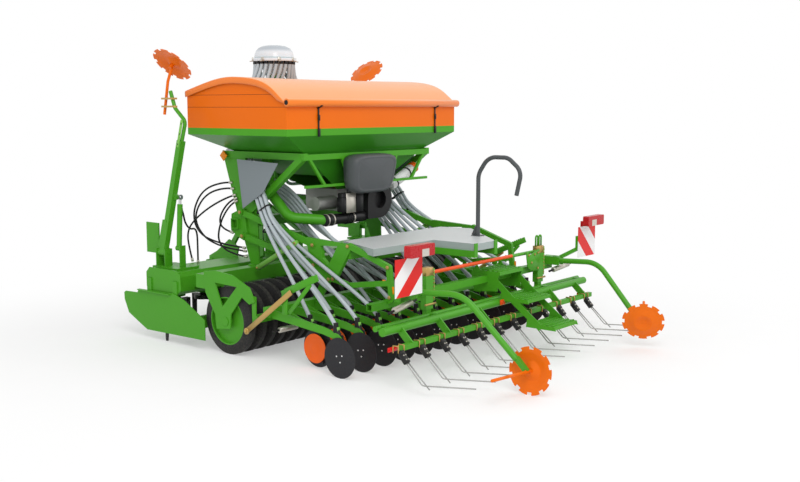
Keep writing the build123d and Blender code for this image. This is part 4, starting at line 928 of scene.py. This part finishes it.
# Columns: gold caps, pierced straps with pegs on their outer sides, a cross pin, two hooks on the right one
columns = {
    "x": 0.830, "y": -1.6325, "wide": 0.090, "deep": 0.055, "cap": (0.768, 0.8325), "capOver": 0.004,
    "strapOut": 0.012, "strapBack": 0.020, "strap": (0.560, 0.822), "strapWide": 0.022, "strapThick": 0.006,
    "pegs": 8, "pegFrom": 0.585, "pegStep": 0.030, "pegY": (0.032, 0.012), "pegRadius": 0.0065,
    "pin": (-0.060, 0.075), "pinBack": 0.030, "pinZ": 0.540, "pinRadius": 0.009,
    "hooks": (-0.028, 0.028), "hookPoints": 13, "hookHalf": 0.018, "hookRise": 0.020, "hookZ": (0.832, 0.905),
    "hookRadius": 0.008, "roundSides": 8,
}
c = columns
capParts, columnStraps, hookParts, pegs = [], [], [], []
for side in (-1, 1):
    x = side * c["x"]
    capParts.append(post(x, c["y"], *c["cap"], c["wide"] + c["capOver"], c["deep"] + c["capOver"]))
    strapX, strapY = x + c["wide"] / 2 + c["strapOut"], c["y"] - c["strapBack"]
    columnStraps.append(beam(at(strapX, strapY, c["strap"][0]), at(strapX, strapY, c["strap"][1]), c["strapWide"],
                             c["strapThick"], side=alongY))
    for z in c["pegFrom"] + c["pegStep"] * np.arange(c["pegs"]):
        pegs.append(rod(*(at(strapX, c["y"] - back, z) for back in c["pegY"]), c["pegRadius"], c["roundSides"]))
    pegs.append(rod(*(at(x + reach, c["y"] - c["pinBack"], c["pinZ"]) for reach in c["pin"]), c["pinRadius"]))
half, (hookFoot, hookTop) = c["hookHalf"], c["hookZ"]
for middle in (c["x"] + dx for dx in c["hooks"]):
    a = np.linspace(0, math.pi, c["hookPoints"])
    loop = np.stack([middle + half * np.cos(a), 0 * a + c["y"], hookTop + c["hookRise"] * np.sin(a)], 1)
    legs = np.concatenate([[(middle + half, c["y"], hookFoot)], loop, [(middle - half, c["y"], hookFoot)]])
    hookParts.append(tube(legs + (0, shift, 0), c["hookRadius"], c["roundSides"]))
addMesh("columnCaps", capParts, "goldZinc")
addMesh("columnStraps", columnStraps, "paleGreenPaint")
addMesh("columnPegs", pegs, "goldZinc")
addMesh("columnHooks", hookParts, "greenPaint")


# Treads: raised ribs across, each with a row of small teeth behind
treads = {
    "x": (0.062, 0.430), "rear": [(-1.728, 0.690), (-2.008, 0.482), (-2.272, 0.287)], "depth": 0.265, "ribs": 5,
    "inset": 0.030, "ribIn": 0.010, "ribUp": 0.002, "rib": (0.024, 0.010, 0.003),
    "teeth": 14, "toothIn": 0.020, "toothBack": 0.008, "toothUp": 0.008, "toothHalf": 0.005,
    "tooth": (0.006, 0.006, 0.001),
}
left, right = treads["x"]
ribParts = []
for rear, z in treads["rear"]:
    for y in np.linspace(rear + treads["inset"], rear + treads["depth"] - treads["inset"], treads["ribs"]):
        ends = [at(x, y, z + treads["ribUp"]) for x in (left + treads["ribIn"], right - treads["ribIn"])]
        ribParts.append(beam(*ends, *treads["rib"], side=alongY))
        for x in np.linspace(left + treads["toothIn"], right - treads["toothIn"], treads["teeth"]):
            ends = [at(x + side * treads["toothHalf"], y - treads["toothBack"], z + treads["toothUp"])
                    for side in (-1, 1)]
            ribParts.append(beam(*ends, *treads["tooth"], side=alongY))
addMesh("treadRibs", ribParts, "greenPaint")


# Document tube under the hopper's right side: white, with an orange screw cap and two bands
papers = {
    "low": (0.420, -0.215, 1.335), "high": (0.790, -0.215, 1.505), "radius": 0.050, "capLong": 0.050,
    "cap": [(0.0, -0.052), (0.005, -0.048), (0.005, -0.004), (-0.004, 0.006), (-0.030, 0.007)],
    "bands": (0.06, 0.27), "band": (0.003, 0.018, 0.001), "edge": 0.006, "mouth": 0.003, "sides": 28,
}
r = papers["radius"]
low, high = at(*papers["low"]), at(*papers["high"])
long = float(np.linalg.norm(high - low))
bodyLong = long - papers["capLong"]
edge, mouth, sides = papers["edge"], papers["mouth"], papers["sides"]
addMesh("documentTube", turned([(r - edge, 0), (r, edge), (r, bodyLong), (r - mouth, bodyLong)], low, high - low,
                               sides), "whitePlastic")
addMesh("documentCap", turned([(r + out, long + past) for out, past in papers["cap"]], low, high - low, sides),
        "orangePlastic")
bandHigh, bandLong, bandEdge = papers["band"]
paperBands = [collar(r, r + bandHigh, bandLong, bandEdge, low + (high - low) / long * start, high - low, sides)
              for start in papers["bands"]]
addMesh("documentBands", paperBands, "blackPlastic")


# Reflectors: red ones on the tine bar's ends, an orange block on the tube, amber ones on the frame and the legs
reflectors = {
    "amber": [(0.898, -1.328, 0.552, 0.652, 0.050), (0.898, -1.246, 0.660, 0.700, 0.034)],
    "red": [((-1.470, -1.762, 0.300), (-1.330, -1.762, 0.300), 0.036),
            ((1.330, -1.762, 0.320), (1.470, -1.762, 0.320), 0.036)],
    "orange": [((0.010, -1.768, 0.440), (0.085, -1.768, 0.440), 0.046)],
    "thick": 0.010, "edge": 0.003, "amberThick": 0.006, "amberEdge": 0.002, "side": (0.892, 0.668, 1.646),
    "corners": 4, "lozenge": [(0.046, 0), (0.050, 0.002), (0.050, 0.008), (0.044, 0.012), (0.010, 0.014)],
}
addMesh("amberMarks", [post(side * x, y, low, high, reflectors["amberThick"], wide, reflectors["amberEdge"])
                       for side in (-1, 1) for x, y, low, high, wide in reflectors["amber"]], "amberPlastic")
for name, finish in (("red", "redPlastic"), ("orange", "leverPaint")):
    marks = [beam(at(*start), at(*end), reflectors["thick"], high, reflectors["edge"], side=alongY)
             for start, end, high in reflectors[name]]
    addMesh(f"{name}Marks", marks, finish)
x, y, z = reflectors["side"]
lozenges = [turned(reflectors["lozenge"], at(side * x, y, z), (side, 0, 0), reflectors["corners"], side=alongY)
            for side in (-1, 1)]
addMesh("sideReflectors", lozenges, "amberPlastic", smooth=False)


# Duct: black ribbed sleeve and pale clamps, all on its straight run along X
duct = {"y": -0.270, "z": 1.085, "sleeve": (0.0485, 0.053, 0.108, 0.003), "rib": (0.0485, 0.056, 0.016, 0.004),
        "clamp": (0.053, 0.056, 0.013, 0.001), "sleeveX": (-0.560,), "ribX": (-0.300, -0.278, -0.256, -0.234),
        "clampX": (-0.548, -0.478, -0.210)}


def ductCollars(kind):
    return [collar(*duct[kind], at(x, duct["y"], duct["z"]), alongX) for x in duct[f"{kind}X"]]


addMesh("ductSleeve", ductCollars("sleeve") + ductCollars("rib"), "blackPlastic")
addMesh("ductClamps", ductCollars("clamp"), "paleZinc")


# Square light-green bar from the drill frame down to the coulter links, with bolts through it, on both sides
levelBar = {"x": 0.935, "low": (0.196, 0.657), "high": (-0.300, 0.930), "size": 0.042, "edge": 0.004,
            "bolts": (0.02, 0.55, 0.72, 0.98), "boltIn": 0.026, "boltOut": 0.030, "boltRadius": 0.010}
bars, barBolts = [], []
for side in (-1, 1):
    low, high = (at(side * levelBar["x"], *levelBar[end]) for end in ("low", "high"))
    bars.append(beam(low, high, levelBar["size"], levelBar["size"], levelBar["edge"], side=alongX))
    for middle in (low + (high - low) * share for share in levelBar["bolts"]):
        barBolts.append(rod(middle - (side * levelBar["boltIn"], 0, 0), middle + (side * levelBar["boltOut"], 0, 0),
                            levelBar["boltRadius"]))
addMesh("levelBars", bars, "paleGreenPaint")
addMesh("levelBolts", barBolts, "goldZinc")


# Link bolts: gold nuts on the outer ends of the bracket's pins and along the frame plates
linkBolts = {"x": (0.905, 0.913), "links": -0.5, "size": (0.017, 0.010, 0.010, 0.013),
             "at": [(0.445, 1.142), (-0.461, 0.918), (0.424, 0.925), (-0.471, 0.746), (-0.860, 0.940),
                    (-0.690, 0.648), (-1.292, 0.805), (-1.310, 0.562), (-0.640, 0.640)]}
nuts = []
for side in (-1, 1):
    for y, z in linkBolts["at"]:
        nuts.append(bolt(linkBolts["size"], at(side * linkBolts["x"][y > linkBolts["links"]], y, z), (side, 0, 0)))
addMesh("linkNuts", nuts, "goldZinc", smooth=False)
print("marks and bolts")


# Harrow tines: each holder hangs behind the bar, leaning back, with one short straight tine and one whose end trails
tineHolders = {
    "pitch": 0.250, "count": 12, "shift": -0.075, "top": (-1.872, 0.294), "lean": (-0.690, -0.724), "long": 0.092,
    "wide": 0.046, "thick": 0.040, "edge": 0.004,
    "shoulder": (0.054, 0.030), "shoulderLong": 0.034, "shoulderAt": (0, 0.004, 0.014),
    "studs": (0.35, 0.75), "studX": (-0.011, 0.011), "stud": (0.0062, 0.003, 0.004, 0.005), "studSides": 8,
    "bar": (-1.850, 0.325), "clampX": (-0.033, 0.033), "clampWide": 0.008,
    "clamp": [((0.024, -0.032), (0.024, 0.026)), ((-0.026, 0.024), (0.028, 0.024)),
              ((-0.026, 0.026), (-0.026, -0.028))],
}
tines = {"apart": 0.012, "radius": 0.005, "sides": 7, "step": 0.016, "knee": (-2.083, 0.086), "bendFrom": 0.15,
         "bendTo": 0.12, "short": (-2.131, 0.058), "sink": 0.004, "trail": (0.212, -0.325, -0.012)}
t = tineHolders
lean, back = np.array([0.0, *t["lean"]]), np.array([0.0, t["lean"][1], -t["lean"][0]])
boxes, studs, clamps, wires = [], [], [], []
for k in range(t["count"]):
    x = t["pitch"] * (k - (t["count"] - 1) / 2) + t["shift"]
    top = at(x, *t["top"])
    foot = top + lean * t["long"]
    boxes += [beam(top, foot, t["wide"], t["thick"], t["edge"], side=alongX),
              beam(top + t["shoulderAt"], top + lean * t["shoulderLong"] + t["shoulderAt"], *t["shoulder"], t["edge"],
                   side=alongX)]
    for share in t["studs"]:
        for dx in t["studX"]:
            studs.append(bolt(t["stud"], top + lean * t["long"] * share + back * t["thick"] / 2 + (dx, 0, 0), back,
                              t["studSides"]))
    barY, barZ = t["bar"]
    for dx in t["clampX"]:
        for start, end in t["clamp"]:
            clamps.append(beam(at(x + dx, barY + start[0], barZ + start[1]), at(x + dx, barY + end[0], barZ + end[1]),
                               t["clampWide"], t["clampWide"]))
    apart = np.array([tines["apart"], 0, 0])
    knee, short = at(x, *tines["knee"]) - apart, at(x, *tines["short"]) + apart
    end, bend = knee + np.array(tines["trail"]), tines["bendFrom"]
    bendLine, _ = evenly(smoothLine([foot - apart, foot * bend + knee * (1 - bend) - apart * bend, knee,
                                     knee * (1 - tines["bendTo"]) + end * tines["bendTo"], end]), tines["step"])
    wires += [tube(bendLine, tines["radius"], tines["sides"]),
              rod(foot - lean * tines["sink"] + apart, short, tines["radius"], tines["sides"])]
holders = addMesh("tineHolders", boxes, "blackPlastic")
wire = addMesh("harrowTines", wires, "springSteel")
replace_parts(holders, "tine_holders")
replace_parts(wire, "harrow_tines")
addMesh("holderStuds", studs, "paleZinc")
addMesh("holderBolts", clamps, "goldZinc")
print("harrow")


# Depth discs: a bossed face inside a rolled rim, turned about each disc's axle
depthDiscs = {"inner": 0.0205, "sides": 40,
              "profile": [(0.022, 0.0), (0.030, 0.0), (0.034, 0.002), (0.106, 0.002), (0.113, 0.000),
                          (0.119, 0.002), (0.121, 0.006), (0.118, 0.010), (0.112, 0.0115), (0.104, 0.0085),
                          (0.046, 0.0085), (0.040, 0.0115), (0.022, 0.0115)]}
for row, (firstNumber, facing) in rows.items():
    discs = [turned(depthDiscs["profile"], at(rowX(number) + facing * depthDiscs["inner"], coulters[f"{row}Row"],
                                              coulters["axis"]), (facing, 0, 0), depthDiscs["sides"])
             for number in range(firstNumber, coulters["count"], 2)]
    piece = addMesh(f"{row}DepthDiscs", discs, "orangePlastic", body=f"{row}_disc_row")
    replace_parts(piece, f"{row}_depth_discs")


# Hood over the metering unit: rounded rings that close in on a crowned face, its top further out than its foot
hood = {
    "middle": (-0.088, 1.488), "half": (0.312, 0.178), "back": -0.345, "power": 0.42, "lean": 0.22, "taper": 0.12,
    "points": 72,
    "rings": [(1.0, 0.0), (1.0, 0.060), (0.988, 0.092), (0.955, 0.116), (0.900, 0.130), (0.84, 0.134), (0.80, 0.131),
              (0.77, 0.132), (0.55, 0.139), (0.30, 0.143), (0.02, 0.144)],
}


def hoodSurface():
    # Ring point: middle + scale half (u, v), narrower below, pushed back by depth (1 + lean scale v)
    u, v = roundedSquare(hood["points"], hood["power"])
    scale, depth = np.array(hood["rings"]).T[:, :, None]
    width = hood["half"][0] * (1 + hood["taper"] * (v - 1) / 2)
    x = hood["middle"][0] + scale * width * u
    z = hood["middle"][1] + scale * hood["half"][1] * v
    y = hood["back"] - depth * (1 + hood["lean"] * scale * v) + shift
    return capped(np.stack([x, y, z], -1))


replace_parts(addMesh("meteringHood", hoodSurface(), "hoodPlastic"), "metering_cover")

# What shows below the hood: a pale plate and dark blocks, as X, Y, from and to in Z, width, thickness and edge
meteringParts = {"plate": (-0.295, -0.352, 1.140, 1.318, 0.128, 0.006, 0.002),
                 "blocks": [(-0.395, -0.330, 1.150, 1.285, 0.060, 0.070, 0.006),
                            (-0.175, -0.330, 1.140, 1.330, 0.090, 0.060, 0.006),
                            (-0.300, -0.310, 1.150, 1.320, 0.200, 0.060, 0.006)]}
addMesh("meteringPlate", post(*meteringParts["plate"]), "paleZinc")
addMesh("meteringBlocks", [post(*block) for block in meteringParts["blocks"]], "blackPlastic")


# Perforated slide strip with its dark holes on each track marker arm
slide = {"x": 1.362, "low": (0.772, 1.629), "high": (0.672, 1.972), "thick": 0.006, "wide": 0.030, "edge": 0.001,
         "holes": [(0.681, 1.940), (0.708, 1.850), (0.734, 1.760), (0.760, 1.668)], "holeOut": 0.0031,
         "hole": [(0.007, 0), (0.0062, 0.0006)], "holeSides": 12}
for side, name in ((-1, "Left"), (1, "Right")):
    x = side * slide["x"]
    body = f"marker_arm_{name.lower()}"
    strip = beam(at(x, *slide["low"]), at(x, *slide["high"]), slide["thick"], slide["wide"], slide["edge"], side=alongX)
    addMesh(f"slideStrip{name}", strip, "paleGreenPaint", body=body)
    spots = [turned(slide["hole"], at(x + side * slide["holeOut"], y, z), (side, 0, 0), slide["holeSides"])
             for y, z in slide["holes"]]
    addMesh(f"slideHoles{name}", spots, "blackPlastic", body=body)


# The left row marker's long axle stub, from and to as distances from the disc back along its axis
stub = {"from": 0.300, "to": 0.512, "radius": 0.0118, "sides": 14, "edge": 0.003}
place, axis = (np.array(v) for v in rowLook["left"])
axis = axis / np.linalg.norm(axis)
addMesh("axleStub", rod(*(at(*(place - axis * stub[end])) for end in ("from", "to")), stub["radius"], stub["sides"],
                        stub["edge"]), "orangePaint", body="row_marker_arm_left")


# Right column: the bolted plate that carries it, with its outline and bolts as X and Z
sidePlate = {"outline": [(0.560, 0.805), (0.640, 0.772), (0.720, 0.800), (0.783, 0.812), (0.783, 0.612),
                         (0.640, 0.628), (0.590, 0.665)],
             "y": -1.668, "thick": 0.008, "edge": 0.0015, "size": (0.011, 0.006, 0.007, 0.008),
             "bolts": [(0.600, 0.770), (0.648, 0.700), (0.700, 0.770), (0.755, 0.780), (0.755, 0.640)]}


def flatPlate(outline, y, thick, edge):
    # An outline of (x, z) points given a thickness along Y, its rear edge broken
    outline = np.asarray(outline, float)
    inward = outline.mean(0) - outline
    inward /= np.linalg.norm(inward, axis=1)[:, None]
    rings = [(outline, y), (outline, y - thick + edge), (outline + inward * edge, y - thick)]
    return capped(np.stack([np.stack([ring[:, 0], np.full(len(ring), depth + shift), ring[:, 1]], 1)
                            for ring, depth in rings]))


addMesh("columnPlate", flatPlate(*(sidePlate[k] for k in ("outline", "y", "thick", "edge"))), "greenPaint")
plateBolts = [bolt(sidePlate["size"], at(x, sidePlate["y"] - sidePlate["thick"], z), (0, -1, 0))
              for x, z in sidePlate["bolts"]]
addMesh("plateBolts", plateBolts, "goldZinc", smooth=False)
print("details")


# Studio: pale floor that is white to the camera away from the machine, soft light
studio = {
    "floor": 40.0, "world": 0.82, "roundMachine": (1.5, 1.9), "fadeTo": 3.2, "leastWhite": 0.35,
    "paper": ((0.90, 0.90, 0.90, 1), (0.93, 0.93, 0.93, 1)), "white": (1, 1, 1, 1), "aim": (0, 0, 1.0),
    "lights": {"keyLight": ((-5.5, -6.0, 7.5), 4.5, 370.0), "fillLight": ((7.0, -4.0, 5.0), 6.0, 100.0)},
}


def plainRays(n):
    # 1 for the rays that see the surroundings as plain white: camera, glossy and glass
    rays = n.add("ShaderNodeLightPath").outputs
    return n.math("MAXIMUM", rays["Is Camera Ray"],
                  n.math("MAXIMUM", rays["Is Glossy Ray"], rays["Is Transmission Ray"]))


def emptied(owner):
    owner.use_nodes = True
    owner.node_tree.nodes.clear()
    return Nodes(owner.node_tree)


world = bpy.data.worlds.new("studio")
bpy.context.scene.world = world
w = emptied(world)
ambient = w.add("ShaderNodeBackground", {"Color": studio["white"], "Strength": studio["world"]})
seenWhite = w.add("ShaderNodeBackground", {"Color": studio["white"], "Strength": 1.0})
w.add("ShaderNodeOutputWorld", {"Surface": w.add("ShaderNodeMixShader", {0: plainRays(w), 1: ambient.outputs[0],
                                                                         2: seenWhite.outputs[0]}).outputs[0]})

# Floor: paper with soft shade, which fades to plain white away from the machine
made["floorPaper"] = bpy.data.materials.new("floorPaper")
f = emptied(made["floorPaper"])
place = f.place()
paper = f.add("ShaderNodeBsdfPrincipled", {"Base Color": f.mix(f.noise(place, 3.0), *studio["paper"]),
                                           "Roughness": 0.9, "Specular IOR Level": 0.1})
white = f.add("ShaderNodeEmission", {"Color": studio["white"], "Strength": 1.0})
x, y, _ = f.split(place)
outside = [f.math("MAXIMUM", f.math("SUBTRACT", f.math("ABSOLUTE", value), reach), 0.0)
           for value, reach in zip((x, y), studio["roundMachine"])]
away = f.math("SQRT", f.math("ADD", *(f.math("MULTIPLY", value, value) for value in outside)))
share = f.math("MULTIPLY", plainRays(f), f.ramp(away, 0.0, studio["fadeTo"], (studio["leastWhite"], 1.0)))
f.add("ShaderNodeOutputMaterial", {"Surface": f.add("ShaderNodeMixShader", {0: share, 1: paper.outputs["BSDF"],
                                                                            2: white.outputs[0]}).outputs[0]})
half = studio["floor"]
floor = addMesh("floor", ([(-half, -half, 0), (half, -half, 0), (half, half, 0), (-half, half, 0)], [(0, 1, 2, 3)]),
                "floorPaper", smooth=False)


def areaLight(name, place, size, power):
    light = bpy.data.lights.new(name, "AREA")
    light.shape = "SQUARE"
    light.size = size
    light.energy = power
    lamp = bpy.data.objects.new(name, light)
    bpy.context.scene.collection.objects.link(lamp)
    lamp.location = place
    lamp.rotation_euler = (Vector(studio["aim"]) - Vector(place)).to_track_quat("-Z", "Y").to_euler()


for name, values in studio["lights"].items():
    areaLight(name, *values)
bpy.context.scene.view_settings.view_transform = "Standard"
print("studio")
